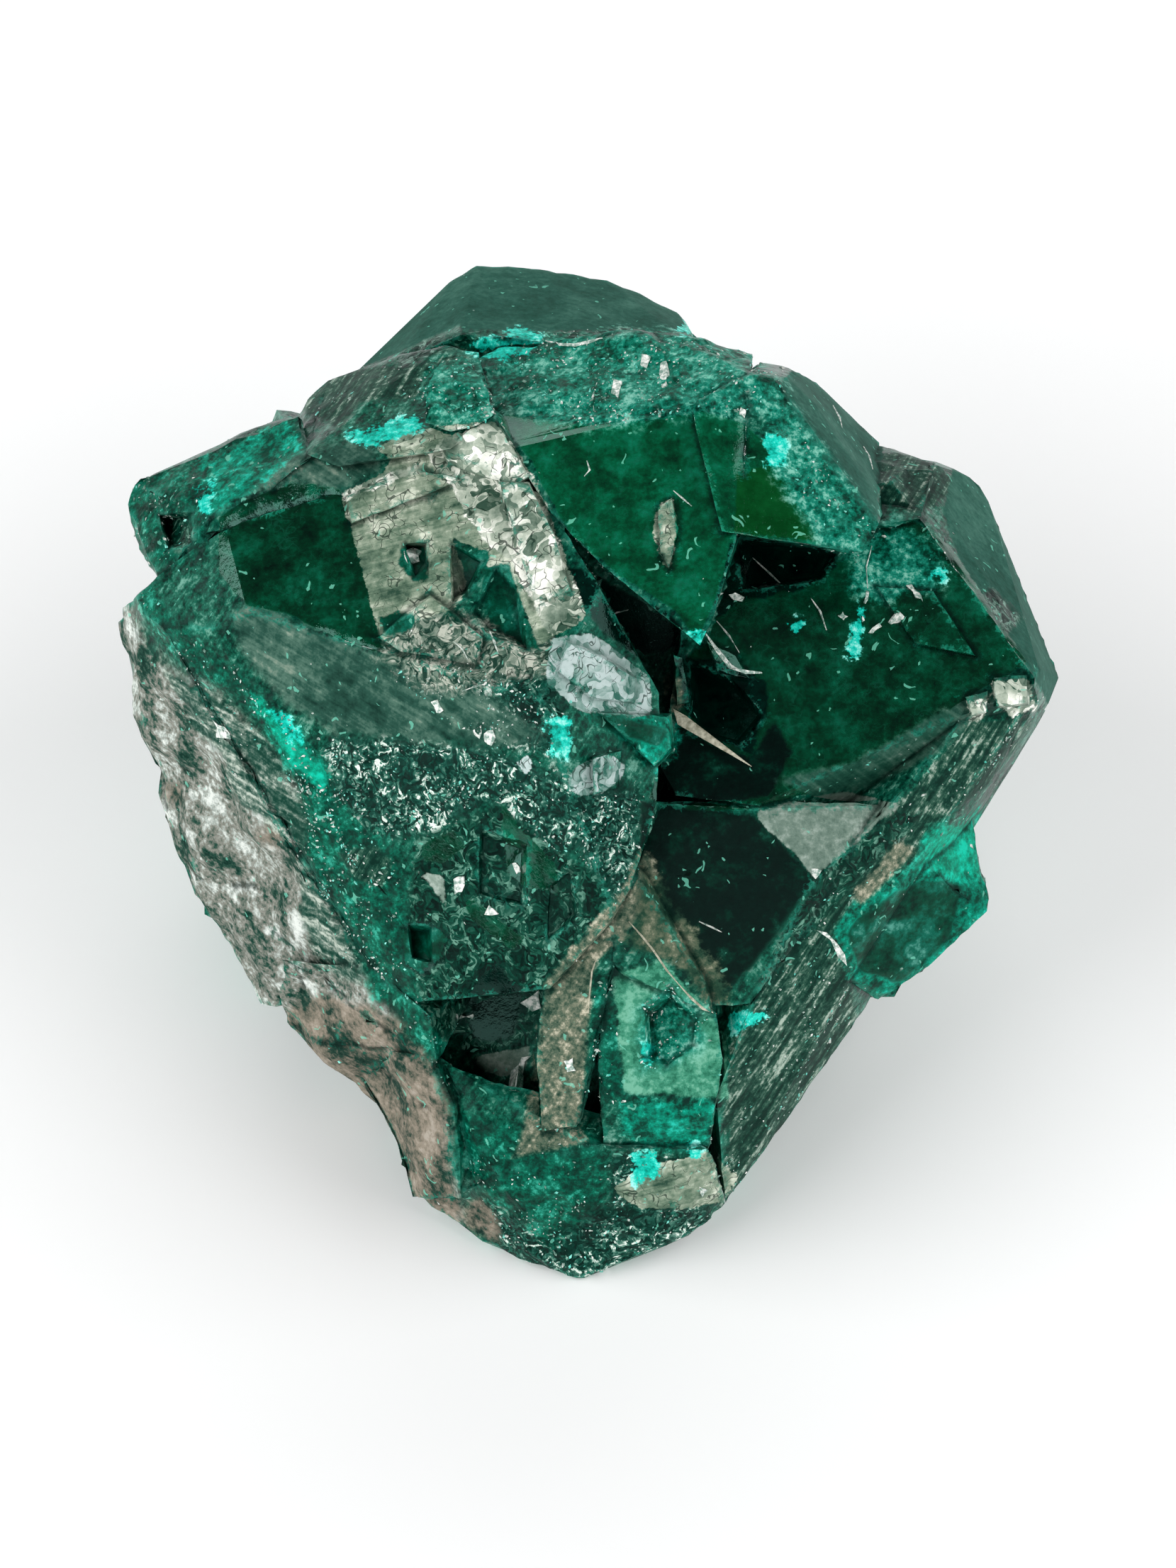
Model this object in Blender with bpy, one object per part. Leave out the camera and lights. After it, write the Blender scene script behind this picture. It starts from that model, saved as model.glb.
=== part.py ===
"""A broken cluster of intergrown dioptase crystals, resting on its flat underside.

Each crystal is a convex block: the hull of a few corners, with its flat faces cut across it. The
blocks are fused into one solid. Hollows are then cut in it, its broken sides get their lumps, and it
is cut flat where it rests.

The front is written as the viewer sees it, in millimetres: x to the right, up along the picture and
out towards the viewer, who looks down on the specimen at VIEW_ELEVATION. The back is written in the
upright world: x to the right, y away from the viewer and z up.
"""

import math

import bmesh
import bpy
from mathutils import Matrix, Vector, noise

MM = 0.001
VIEW_ELEVATION = math.radians(50.0)
MIDDLE_HEIGHT = 9.6  # mm, from the surface it rests on to the middle of the picture

RHOMB_TILT = math.radians(51.0)  # between the axis of a crystal and the normal of an end face
COPLANAR = math.radians(0.5)
WELD = 0.02  # mm

ROUGH_EDGE = 0.95  # mm, longest edge of the triangles on broken ground
LUMP_SPACING = 2.3  # mm
GRAIN_SPACING = 0.8  # mm
GRAIN_SHARE = 0.3  # of the height of a lump
FOOT_FADE = 1.4  # mm above the ground over which the lumps grow to their full height
FULL_REACH = 2.0  # how many times a patch's fading height is raised, so that its middle half is full
SPLIT_ROUNDS = 6
NOISE_ORIGIN = Vector((11.3, 4.7, 23.9))

HOLLOW_TAPER = 0.65  # size of the floor of a hollow against its mouth
PLATE_TAPER = 0.86  # size of the top of a plate against its foot
RUN_OUT = 0.8  # share of a slab's height lost at its far end
CLEAR = 0.6  # mm, that a cutter stands out of its face and a plate is sunk in it

CRYSTAL_GREEN = (0.0, 0.16, 0.09, 1.0)
CRYSTAL_ROUGHNESS = 0.15
CRYSTAL_IOR = 1.66
CRYSTAL_CLEARNESS = 0.6


def seen(x, up, out):
    """A corner given as the viewer sees it, placed in the upright world, in millimetres."""
    sine = math.sin(VIEW_ELEVATION)
    cosine = math.cos(VIEW_ELEVATION)
    return Vector((x, up * sine - out * cosine, up * cosine + out * sine + MIDDLE_HEIGHT))


def standing(x, y, z):
    """A corner given in the upright world, in millimetres."""
    return Vector((x, y, z))


TOWARDS_VIEWER = seen(0.0, 0.0, 1.0) - seen(0.0, 0.0, 0.0)


# The mass behind all the crystals, down to the ground.
CORE = {
    "corners": [
        seen(-9.0, 3.0, 1.0),
        seen(-6.5, 8.0, 2.0),
        seen(0.0, 10.5, 2.5),
        seen(6.0, 9.5, 1.5),
        seen(10.5, 4.0, 1.0),
        seen(8.5, -2.0, 1.5),
        seen(5.0, -7.0, 1.5),
        seen(0.0, -12.0, 0.8),
        seen(-4.0, -9.5, 0.0),
        seen(-8.0, -4.0, 0.5),
        standing(-5.0, 13.0, 9.0),
        standing(4.5, 13.0, 8.5),
        standing(-9.5, 9.0, 9.0),
        standing(10.5, 8.0, 9.0),
        standing(-2.0, -9.8, -1.0),
        standing(1.5, -9.8, -1.0),
        standing(-4.8, -7.5, -1.0),
        standing(3.8, -7.5, -1.0),
        standing(-8.6, 0.5, -1.0),
        standing(8.2, 0.5, -1.0),
        standing(-8.5, 6.0, -1.0),
        standing(8.5, 6.0, -1.0),
        standing(-6.0, 11.0, -1.0),
        standing(6.0, 11.0, -1.0),
    ],
}

# The large left crystal. Its cleaved top and its front meet along a line that rises to the right.
LEFT_EDGE_START = seen(-9.96, 4.7, 4.6)
LEFT_EDGE_END = seen(-0.6, 1.8, 8.4)
LEFT_TOP_FACE = (LEFT_EDGE_START, LEFT_EDGE_END, seen(-7.3, 8.15, 3.6))
LEFT_FRONT_FACE = (LEFT_EDGE_START, LEFT_EDGE_END, seen(-1.4, -6.5, 5.2))
LEFT_END_FACE = (seen(0.0, 4.6, 7.2), seen(0.9, -4.0, 7.0), seen(2.65, 1.2, 5.8))
LEFT_CRYSTAL = {
    "corners": [
        seen(-7.25, 8.2, 5.0),
        seen(-4.3, 9.4, 6.0),
        seen(-1.5, 8.7, 8.0),
        seen(-0.3, 5.2, 9.0),
        seen(1.6, 2.65, 9.0),
        seen(2.65, 1.6, 9.0),
        seen(2.65, 0.5, 9.0),
        seen(1.6, -0.9, 9.0),
        seen(1.6, -2.8, 9.0),
        seen(0.9, -4.0, 9.0),
        seen(-1.4, -6.5, 8.0),
        seen(-4.75, -6.9, 6.0),
        seen(-11.0, 7.3, 5.0),
        seen(-13.0, 5.6, 4.0),
        seen(-12.2, 3.0, 4.0),
        seen(-9.5, -3.0, 4.0),
        seen(-13.9, 4.4, -2.6),
        seen(-13.35, 0.5, -3.6),
        seen(-12.4, -2.2, -3.8),
        seen(-10.6, -4.7, -3.6),
        seen(-9.9, -7.1, -3.4),
        seen(-4.0, 8.0, -6.0),
        seen(0.0, 5.0, -6.0),
        seen(0.0, -6.0, -4.0),
        standing(-8.6, 0.5, 0.0),
        standing(-8.5, 6.0, 2.0),
        standing(-10.6, 8.0, 8.0),
    ],
    "faces": [
        LEFT_TOP_FACE,
        LEFT_FRONT_FACE,
        LEFT_END_FACE,
        (seen(-9.5, 1.8, 3.9), seen(-4.75, -6.5, 3.5), seen(-8.5, -2.35, 2.5)),
        (seen(-12.0, 3.3, 2.5), seen(-6.8, -5.9, 2.0), seen(-12.4, -2.1, -3.8)),
        (seen(-11.0, 7.2, 2.9), LEFT_EDGE_START, seen(-13.1, 6.0, 1.5)),
    ],
}

# The dark crystal above the valley, whose overhanging pane comes down to a point.
PANE_TIP = seen(3.3, 3.6, 8.4)
PANE_LEFT = seen(-2.6, 10.35, 3.9)
PANE_FOLD_LOW = seen(4.3, 6.4, 7.3)
PANE_FOLD_HIGH = seen(4.6, 11.0, 4.9)
PANE_CORNER = seen(8.6, 7.2, 5.6)
PANE_FACE = (PANE_LEFT, PANE_TIP, PANE_FOLD_HIGH)
UPPER_CRYSTAL = {
    "corners": [
        seen(-2.7, 10.4, 6.0),
        seen(-1.6, 9.0, 7.5),
        seen(-0.6, 6.9, 8.5),
        seen(0.7, 5.6, 9.0),
        PANE_TIP,
        seen(3.7, 4.4, 9.0),
        seen(4.45, 6.9, 9.0),
        seen(4.7, 11.2, 6.0),
        seen(-3.4, 12.2, 1.2),
        seen(-2.6, 12.75, 1.0),
        seen(0.0, 12.9, 1.6),
        seen(2.6, 12.95, 1.2),
        seen(4.9, 12.3, 1.0),
        seen(0.5, 6.5, 3.0),
        seen(3.6, 5.5, 3.5),
        seen(0.0, 7.0, -4.0),
        seen(4.0, 6.0, -4.0),
        seen(-3.0, 10.0, -6.0),
        seen(4.0, 10.5, -6.0),
    ],
    "faces": [
        PANE_FACE,
        (seen(0.45, 10.1, 4.55), PANE_FOLD_HIGH, seen(1.0, 12.85, 1.4)),
    ],
}

UPPER_RIGHT_CRYSTAL = {
    "corners": [
        seen(3.0, 10.7, 6.0),
        seen(4.6, 11.45, 6.0),
        seen(3.9, 6.95, 9.0),
        seen(8.1, 6.3, 7.0),
        seen(8.6, 7.2, 6.5),
        seen(5.6, 11.35, 6.0),
        seen(6.2, 11.85, 0.0),
        seen(7.0, 11.4, -2.0),
        seen(8.7, 9.75, -2.4),
        seen(8.75, 8.0, 0.5),
        seen(5.2, 12.1, 0.0),
        seen(4.5, 7.4, 2.5),
        seen(7.8, 7.0, 2.5),
        seen(4.0, 7.0, -4.0),
        seen(8.0, 7.0, -5.0),
    ],
    "faces": [
        (PANE_FOLD_LOW, PANE_FOLD_HIGH, PANE_CORNER),
        (seen(5.6, 11.3, 4.6), PANE_CORNER, seen(8.8, 9.4, 0.8)),
    ],
}

# The right crystal, its broad dark face on the far side of the valley.
RIGHT_FACE = (seen(2.2, -0.5, 5.4), seen(11.8, 2.3, 4.6), seen(9.0, 7.0, 3.0))
RIGHT_CRYSTAL = {
    "corners": [
        seen(8.0, 7.6, 6.0),
        seen(9.8, 8.6, 3.6),
        seen(12.95, 3.1, 6.0),
        seen(13.2, 2.0, 4.0),
        seen(10.6, 1.0, 6.0),
        seen(7.75, -0.4, 6.5),
        seen(4.8, -1.15, 7.0),
        seen(2.0, -0.8, 7.0),
        seen(3.0, 6.0, 6.0),
        seen(10.4, 9.2, -2.6),
        seen(11.7, 8.6, -2.6),
        seen(12.05, 7.6, -2.0),
        seen(14.0, 2.75, -1.4),
        seen(13.7, 2.0, -1.2),
        seen(11.6, -1.0, 0.0),
        standing(11.0, 7.5, 7.0),
        standing(8.5, 6.0, 2.0),
        seen(8.7, 9.6, -3.0),
        seen(3.0, 5.0, -5.0),
    ],
    "faces": [
        RIGHT_FACE,
        (seen(9.8, 7.4, 2.9), seen(12.9, 3.1, 4.3), seen(12.05, 8.0, -2.6)),
        (seen(4.8, -1.15, 5.5), seen(12.9, 2.2, 4.2), seen(11.6, -1.0, 0.0)),
    ],
}

NOTCH_CRYSTAL = {
    "corners": [
        seen(8.2, 9.1, 0.6),
        seen(8.6, 9.7, -2.0),
        seen(9.9, 9.3, -2.0),
        seen(10.3, 8.9, 0.8),
        seen(9.8, 7.4, 3.2),
        seen(8.5, 7.2, 3.8),
        seen(8.0, 6.0, -3.0),
        seen(9.8, 7.0, -4.0),
    ],
}

# The long striated crystal that runs down the lower right side.
LONG_CRYSTAL = {
    "corners": [
        seen(13.0, 2.0, 3.6),
        seen(11.7, 2.4, 4.5),
        seen(8.9, -1.0, 4.9),
        seen(6.6, -3.3, 4.8),
        seen(4.8, -6.9, 4.3),
        seen(3.8, -9.6, 3.2),
        seen(13.6, 1.8, 0.0),
        seen(11.5, -1.5, 0.0),
        seen(8.0, -7.4, -0.6),
        seen(5.6, -10.8, -0.6),
        seen(4.1, -12.8, -0.4),
        seen(8.6, -4.4, 3.2),
        seen(7.4, -6.0, 2.8),
        seen(2.0, -4.0, 0.0),
        seen(8.0, 2.0, 0.0),
        standing(7.4, -1.0, 1.0),
        standing(3.8, -7.5, 0.0),
    ],
}

DARK_WEDGE = {
    "corners": [
        seen(1.5, -0.9, 5.4),
        seen(4.9, -1.1, 5.5),
        seen(5.9, -0.85, 5.0),
        seen(9.2, -1.0, 4.4),
        seen(6.7, -3.2, 5.2),
        seen(4.8, -6.9, 4.5),
        seen(3.6, -6.9, 4.3),
        seen(2.1, -4.4, 5.0),
        seen(1.4, -3.0, 5.3),
        seen(2.0, -3.0, 0.0),
        seen(6.0, -3.0, 0.0),
    ],
}

SMALL_RIGHT_CRYSTAL = {
    "corners": [
        seen(11.4, -1.3, 0.9),
        seen(11.9, -3.8, 0.7),
        seen(11.8, -4.15, 0.8),
        seen(10.1, -5.8, 0.9),
        seen(8.6, -6.8, 0.8),
        seen(7.5, -6.1, 2.4),
        seen(7.2, -4.6, 3.3),
        seen(8.3, -3.5, 3.4),
        seen(9.8, -2.65, 2.9),
        seen(11.1, -1.4, -2.6),
        seen(11.4, -3.8, -2.6),
        seen(8.2, -6.4, -2.6),
        seen(7.0, -4.0, -3.0),
    ],
}

# The short six-sided crystal low on the front, broken across.
STUB_CRYSTAL = {
    "corners": [
        seen(0.25, -6.1, 5.0),
        seen(0.8, -5.65, 5.1),
        seen(2.1, -5.45, 5.0),
        seen(3.8, -7.1, 4.5),
        seen(4.0, -8.6, 4.0),
        seen(3.75, -10.0, 3.5),
        seen(3.6, -11.2, 2.4),
        seen(0.5, -11.2, 2.9),
        seen(0.35, -9.6, 4.0),
        seen(0.5, -6.0, -2.0),
        seen(3.6, -7.0, -2.0),
        seen(3.4, -11.0, -1.0),
        seen(0.5, -11.0, -1.0),
    ],
}

GREY_COLUMN = {
    "corners": [
        seen(1.3, -3.3, 6.0),
        seen(0.9, -5.2, 5.5),
        seen(0.25, -6.2, 5.1),
        seen(0.05, -8.1, 4.5),
        seen(-0.2, -10.5, 3.6),
        seen(-1.4, -10.7, 3.3),
        seen(-1.5, -8.2, 4.2),
        seen(-1.3, -6.4, 5.0),
        seen(0.5, -4.3, 5.9),
        seen(-0.5, -5.0, 0.0),
        seen(-0.7, -10.5, 0.0),
        seen(0.8, -5.0, 0.0),
    ],
}

BOTTOM_LEDGE = {
    "corners": [
        seen(-5.4, -12.0, -1.0),
        seen(-4.6, -12.9, -0.8),
        seen(-3.1, -13.95, -0.4),
        seen(-1.4, -14.6, 0.0),
        seen(-0.2, -15.05, 0.3),
        seen(1.5, -14.4, 0.4),
        seen(3.2, -13.65, 0.2),
        seen(4.1, -12.8, 0.0),
        seen(3.6, -11.1, 2.6),
        seen(0.0, -11.0, 3.2),
        seen(-2.7, -12.0, 2.2),
        seen(-4.2, -8.6, 2.4),
        seen(-5.5, -10.9, -1.6),
        standing(-2.0, -9.8, -1.0),
        standing(1.5, -9.8, -1.0),
        standing(-4.4, -7.5, -1.0),
        standing(3.6, -7.5, -1.0),
    ],
}

LOWER_LEFT_LUMP = {
    "corners": [
        seen(-9.0, -7.5, -2.8),
        seen(-8.2, -8.0, -2.4),
        seen(-7.1, -8.55, -2.0),
        seen(-6.4, -9.6, -1.8),
        seen(-4.4, -8.6, 3.0),
        seen(-4.6, -7.2, 3.4),
        seen(-6.4, -5.7, 2.4),
        seen(-9.0, -5.6, -0.2),
        standing(-7.4, -2.0, 0.4),
        standing(-5.6, -5.5, 0.0),
        seen(-3.0, -6.0, 0.0),
    ],
}

LOWER_LEFT_KNOB = {
    "corners": [
        seen(-6.7, -9.1, -1.6),
        seen(-6.15, -10.0, -1.6),
        seen(-5.45, -11.3, -1.2),
        seen(-5.15, -12.6, -0.8),
        seen(-3.7, -12.6, 1.6),
        seen(-3.9, -9.8, 2.4),
        seen(-4.6, -8.3, 2.9),
        seen(-5.8, -8.3, 1.6),
        standing(-4.6, -6.5, -1.0),
        seen(-3.0, -9.0, 0.0),
    ],
}

INNER_LEFT = {
    "corners": [
        seen(-11.2, 7.0, 2.6),
        seen(-10.9, 7.9, 2.1),
        seen(-8.2, 9.3, 2.9),
        seen(-7.3, 8.6, 3.6),
        seen(-5.5, 9.2, 3.8),
        seen(-3.5, 9.9, 3.6),
        seen(-4.5, 8.0, 4.4),
        seen(-8.0, 7.0, 3.0),
        seen(-12.0, 6.0, -2.0),
        seen(-9.0, 9.6, -3.0),
        seen(-4.0, 9.0, -4.0),
    ],
}

# The cleaner crystal that stands up behind the ridge.
TOP_CRYSTAL = {
    "corners": [
        seen(-3.9, 14.75, -4.2),
        seen(-3.3, 15.08, -4.4),
        seen(-1.4, 15.0, -4.6),
        seen(0.6, 14.65, -4.8),
        seen(1.6, 14.25, -4.8),
        seen(2.7, 13.7, -4.8),
        seen(3.15, 13.1, -4.4),
        seen(-3.7, 12.9, 0.4),
        seen(-7.0, 11.7, -2.6),
        seen(-5.6, 12.1, -0.6),
        seen(0.3, 12.6, 0.4),
        seen(3.3, 12.4, -0.6),
        seen(-6.6, 11.0, -9.0),
        seen(3.0, 11.5, -9.0),
        seen(-3.4, 13.6, -9.5),
        standing(-3.5, 14.0, 6.0),
        standing(3.0, 14.0, 6.0),
        seen(0.0, 8.0, -2.0),
    ],
}

LEFT_TIP = {
    "corners": [
        seen(-13.65, 7.9, -0.8),
        seen(-13.45, 8.5, -1.0),
        seen(-12.0, 9.05, -1.2),
        seen(-10.8, 9.7, -1.2),
        seen(-9.1, 10.4, -1.2),
        seen(-8.5, 10.5, 0.8),
        seen(-8.1, 9.2, 3.2),
        seen(-11.0, 7.6, 2.4),
        seen(-12.6, 5.6, 2.0),
        seen(-13.15, 6.3, -0.8),
        seen(-12.0, 6.0, -4.5),
        seen(-9.0, 9.0, -5.0),
    ],
}

SHOULDER = {
    "corners": [
        seen(-8.6, 10.5, -1.6),
        seen(-8.3, 11.1, -1.8),
        seen(-7.7, 11.6, -2.0),
        seen(-6.9, 11.8, -2.2),
        seen(-6.4, 11.85, -0.4),
        seen(-4.2, 12.6, 1.0),
        seen(-3.2, 12.3, 1.6),
        seen(-2.7, 10.4, 4.4),
        seen(-4.0, 9.4, 4.8),
        seen(-5.6, 9.5, 4.2),
        seen(-7.3, 8.9, 4.1),
        seen(-8.3, 9.3, 3.2),
        seen(-6.0, 9.0, -6.0),
        seen(-3.0, 10.0, -6.0),
    ],
}

RIDGE_HUMP = {
    "corners": [
        seen(-4.75, 10.2, 4.3),
        seen(-4.7, 11.4, 3.3),
        seen(-4.3, 12.15, 2.2),
        seen(-3.5, 12.2, 2.2),
        seen(-3.0, 11.3, 3.6),
        seen(-2.7, 10.4, 4.6),
        seen(-3.2, 10.1, 4.8),
        seen(-4.0, 9.9, 4.8),
        seen(-4.0, 10.5, -1.0),
    ],
}

CREST = {
    "corners": [
        seen(1.40, -2.90, 6.1),
        seen(1.62, -3.05, 5.45),
        seen(0.80, -4.6, 5.72),
        seen(0.72, -5.6, 5.42),
        seen(1.0, -5.95, 5.2),
        seen(1.9, -5.85, 5.1),
        seen(3.0, -6.65, 4.85),
        seen(3.65, -7.1, 4.62),
        seen(3.5, -6.2, 4.72),
        seen(2.3, -4.3, 5.12),
        seen(-0.4, -4.6, -2.5),
        seen(0.6, -1.4, -2.5),
        seen(2.6, -1.4, -2.5),
        seen(5.4, -5.0, -2.5),
        seen(5.4, -7.6, -2.5),
        seen(3.0, -8.6, -2.5),
        seen(0.0, -6.6, -2.5),
    ],
}

RIDGE_HEAD = {
    "corners": [
        seen(-4.05, 8.95, 4.2),
        seen(-4.15, 9.4, 4.6),
        seen(-3.35, 10.05, 4.75),
        seen(-2.75, 10.5, 4.2),
        seen(-2.42, 10.25, 3.75),
        seen(-2.4, 9.6, 4.75),
        seen(-1.7, 8.6, 4.98),
        seen(-2.2, 8.35, 4.95),
        seen(-2.9, 8.6, 4.6),
        seen(-6.0, 8.6, -5.0),
        seen(-5.6, 10.6, -5.0),
        seen(-2.6, 11.8, -5.0),
        seen(-0.6, 10.0, -5.0),
        seen(1.2, 6.6, -5.0),
        seen(-2.6, 6.2, -5.0),
        seen(-4.0, 7.4, -5.0),
    ],
}

BLOCKS = {
    "core": CORE,
    "left_crystal": LEFT_CRYSTAL,
    "upper_crystal": UPPER_CRYSTAL,
    "upper_right_crystal": UPPER_RIGHT_CRYSTAL,
    "right_crystal": RIGHT_CRYSTAL,
    "notch_crystal": NOTCH_CRYSTAL,
    "long_crystal": LONG_CRYSTAL,
    "dark_wedge": DARK_WEDGE,
    "small_right_crystal": SMALL_RIGHT_CRYSTAL,
    "stub_crystal": STUB_CRYSTAL,
    "grey_column": GREY_COLUMN,
    "bottom_ledge": BOTTOM_LEDGE,
    "lower_left_lump": LOWER_LEFT_LUMP,
    "lower_left_knob": LOWER_LEFT_KNOB,
    "inner_left": INNER_LEFT,
    "crest": CREST,
    "ridge_head": RIDGE_HEAD,
    "ridge_hump": RIDGE_HUMP,
    "top_crystal": TOP_CRYSTAL,
    "left_tip": LEFT_TIP,
    "shoulder": SHOULDER,
}

# Six-sided crystals with three-faced ends, which the viewer doesn't see: foot, direction of growth,
# half width and length.
BACK_CRYSTALS = [
    (standing(-4.5, 5.5, 7.5), Vector((-0.50, 0.78, 0.36)), 3.3, 9.6),
    (standing(1.8, 6.0, 8.0), Vector((0.12, 0.93, 0.34)), 3.7, 10.4),
    (standing(6.2, 4.5, 8.0), Vector((0.66, 0.70, 0.24)), 3.1, 7.4),
    (standing(-1.5, 5.0, 3.4), Vector((-0.16, 0.98, 0.02)), 3.2, 10.2),
    (standing(4.2, 4.0, 3.2), Vector((0.52, 0.85, 0.02)), 2.9, 9.2),
    (standing(-5.5, 2.5, 4.2), Vector((-0.80, 0.58, 0.04)), 2.8, 7.4),
    (standing(5.5, -0.5, 3.6), Vector((0.95, 0.05, -0.05)), 2.5, 5.2),
]

# Slabs left standing when a layer split off: the face they lie on, outline as seen, and thickness.
PLATES = [
    (LEFT_TOP_FACE, [(-7.3, 8.1), (-7.1, 7.1), (-5.0, 7.9), (-3.2, 8.6), (-5.0, 9.0)], 0.3),
    (LEFT_TOP_FACE, [(-1.7, 8.6), (-0.9, 7.0), (-0.3, 5.0), (-1.5, 4.5), (-2.8, 8.8)], 0.42),
    (LEFT_TOP_FACE, [(-4.6, 5.3), (-2.8, 3.9), (-3.0, 2.9), (-5.6, 3.4), (-6.4, 3.9)], 0.35),
    (LEFT_END_FACE, [(0.5, 3.4), (-0.7, 3.9), (-1.0, 2.9), (0.1, 2.0), (1.6, 1.8), (1.6, 2.7)], 0.7),
    (LEFT_END_FACE, [(2.6, 0.6), (2.5, 1.7), (0.1, 1.8), (1.1, 0.9), (2.0, 0.0)], 0.6),
    (LEFT_END_FACE, [(0.1, 0.45), (1.1, 0.7), (1.0, -0.6), (0.1, -0.85)], 0.5),
    (PANE_FACE, [(2.5, 8.1), (2.0, 7.8), (2.1, 6.2), (2.4, 5.7), (2.75, 7.1)], 0.3),
    (RIGHT_FACE, [(3.4, 3.9), (4.4, 3.4), (4.9, 2.6), (3.8, 2.8)], 1.1),
    (RIGHT_FACE, [(11.6, 3.2), (9.6, 3.6), (8.2, 5.6), (10.2, 5.4)], 0.4),
    (RIGHT_FACE, [(2.5, 3.5), (2.8, 3.4), (3.1, 1.9), (2.6, 1.8)], 0.9),
    (RIGHT_FACE, [(11.8, 2.8), (11.9, 1.8), (13.0, 1.9), (13.0, 2.9)], 0.55),
    (RIGHT_FACE, [(11.0, 2.2), (11.2, 1.5), (11.8, 1.7), (11.8, 2.4)], 0.4),
]

# Hollows left by splinters: the face they are cut in, outline as seen, and depth.
HOLLOWS = [
    (LEFT_TOP_FACE, [(-5.4, 6.7), (-4.65, 6.75), (-4.65, 6.0), (-5.05, 5.5)], 0.9),
    (LEFT_TOP_FACE, [(-3.5, 5.0), (-4.0, 4.7), (-4.1, 6.9), (-3.6, 6.5), (-2.9, 6.2)], 0.8),
    (LEFT_TOP_FACE, [(-1.6, 3.3), (-1.9, 5.5), (-2.7, 6.4), (-3.6, 4.5), (-2.9, 3.8)], 0.7),
    (LEFT_FRONT_FACE, [(-5.3, -4.5), (-4.5, -4.5), (-4.5, -5.8), (-5.2, -5.6)], 1.0),
    (LEFT_FRONT_FACE, [(-1.6, -2.0), (-1.7, -4.3), (-3.4, -3.9), (-3.3, -1.4)], 0.6),
    (LEFT_FRONT_FACE, [(-0.2, -4.3), (-0.4, -2.6), (-1.2, -3.2), (-1.3, -5.4)], 0.5),
    (RIGHT_FACE, [(4.3, 6.9), (7.8, 6.5), (7.2, 5.5), (4.3, 5.2)], 1.1),
    (RIGHT_FACE, [(2.9, 3.3), (4.3, 2.8), (5.5, 1.5), (4.6, 0.4), (2.9, 0.9)], 1.2),
]

STUB_FACE = (seen(0.4, -6.2, 5.0), seen(3.9, -7.2, 4.5), seen(3.0, -10.2, 3.6))
STUB_MOUTH = [(1.6, -6.9), (2.5, -6.2), (3.5, -7.1), (3.4, -8.2), (2.3, -9.0), (1.6, -8.6)]
STUB_DEPTH = 1.0  # mm
TIP_FACE = (seen(-13.4, 7.4, -0.4), seen(-11.0, 7.6, 2.4), seen(-12.6, 5.8, 1.8))
TIP_MOUTH = [(-12.7, 7.6), (-11.6, 7.7), (-11.5, 6.6), (-12.4, 6.4)]
TIP_DEPTH = 1.1  # mm

# Broken ground: the middle of each patch, its radius and the height of its lumps.
ROUGH_GROUND = [
    (seen(-13.0, 1.0, -1.5), 5.0, 0.55),
    (seen(-10.8, -3.5, -1.0), 4.6, 0.6),
    (seen(-8.0, -7.0, 0.0), 3.6, 0.6),
    (seen(-5.2, -10.5, 0.3), 3.6, 0.55),
    (seen(-2.0, -13.5, 1.0), 3.2, 0.45),
    (seen(1.6, -12.4, 2.0), 3.0, 0.4),
    (seen(-1.6, 12.0, 2.4), 2.6, 0.35),
    (seen(2.4, 12.0, 2.6), 3.0, 0.4),
    (seen(-6.3, 11.2, 1.0), 2.6, 0.25),
    (seen(-10.0, 9.0, 1.0), 2.8, 0.3),
    (seen(9.3, 8.6, 0.5), 2.2, 0.3),
    (seen(11.2, -2.4, 0.8), 2.2, 0.22),
    (standing(-7.0, 6.0, 2.5), 5.0, 0.45),
    (standing(0.0, 11.0, 1.5), 5.5, 0.45),
    (standing(8.5, 6.0, 2.0), 5.0, 0.45),
    (standing(-1.0, -8.5, 2.0), 5.0, 0.45),
    (standing(7.0, -3.0, 1.5), 3.5, 0.35),
]


def clear_scene():
    for old in list(bpy.data.objects):
        bpy.data.objects.remove(old)


def hull(corners):
    """The convex hull of these corners, with its flat parts as whole faces."""
    shape = bmesh.new()
    for corner in corners:
        shape.verts.new(corner)
    made = bmesh.ops.convex_hull(shape, input=shape.verts)
    inside = [v for v in made["geom_interior"] if isinstance(v, bmesh.types.BMVert)]
    bmesh.ops.delete(shape, geom=inside, context="VERTS")
    loose = [v for v in shape.verts if not v.link_faces]
    bmesh.ops.delete(shape, geom=loose, context="VERTS")
    bmesh.ops.dissolve_limit(shape, angle_limit=COPLANAR, verts=shape.verts, edges=shape.edges)
    bmesh.ops.recalc_face_normals(shape, faces=shape.faces)
    return shape


def sliced(shape, face):
    """The convex shape with all of it beyond this flat face taken off."""
    first, second, third = face
    normal = (second - first).cross(third - first).normalized()
    middle = sum((v.co for v in shape.verts), Vector()) / len(shape.verts)
    if normal.dot(middle - first) > 0.0:
        normal = -normal
    every = list(shape.verts) + list(shape.edges) + list(shape.faces)
    bmesh.ops.bisect_plane(shape, geom=every, plane_co=first, plane_no=normal, clear_outer=True)
    corners = [v.co.copy() for v in shape.verts]
    shape.free()
    return hull(corners)


def object_of_mesh(name, mesh):
    made = bpy.data.objects.new(name, mesh)
    bpy.context.scene.collection.objects.link(made)
    return made


def object_of(name, shape):
    mesh = bpy.data.meshes.new(name)
    shape.to_mesh(mesh)
    shape.free()
    return object_of_mesh(name, mesh)


def block(name, corners, faces=()):
    """A convex crystal: the hull of its corners, cut back to its flat faces."""
    shape = hull(corners)
    for face in faces:
        shape = sliced(shape, face)
    return object_of(name, shape)


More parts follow.
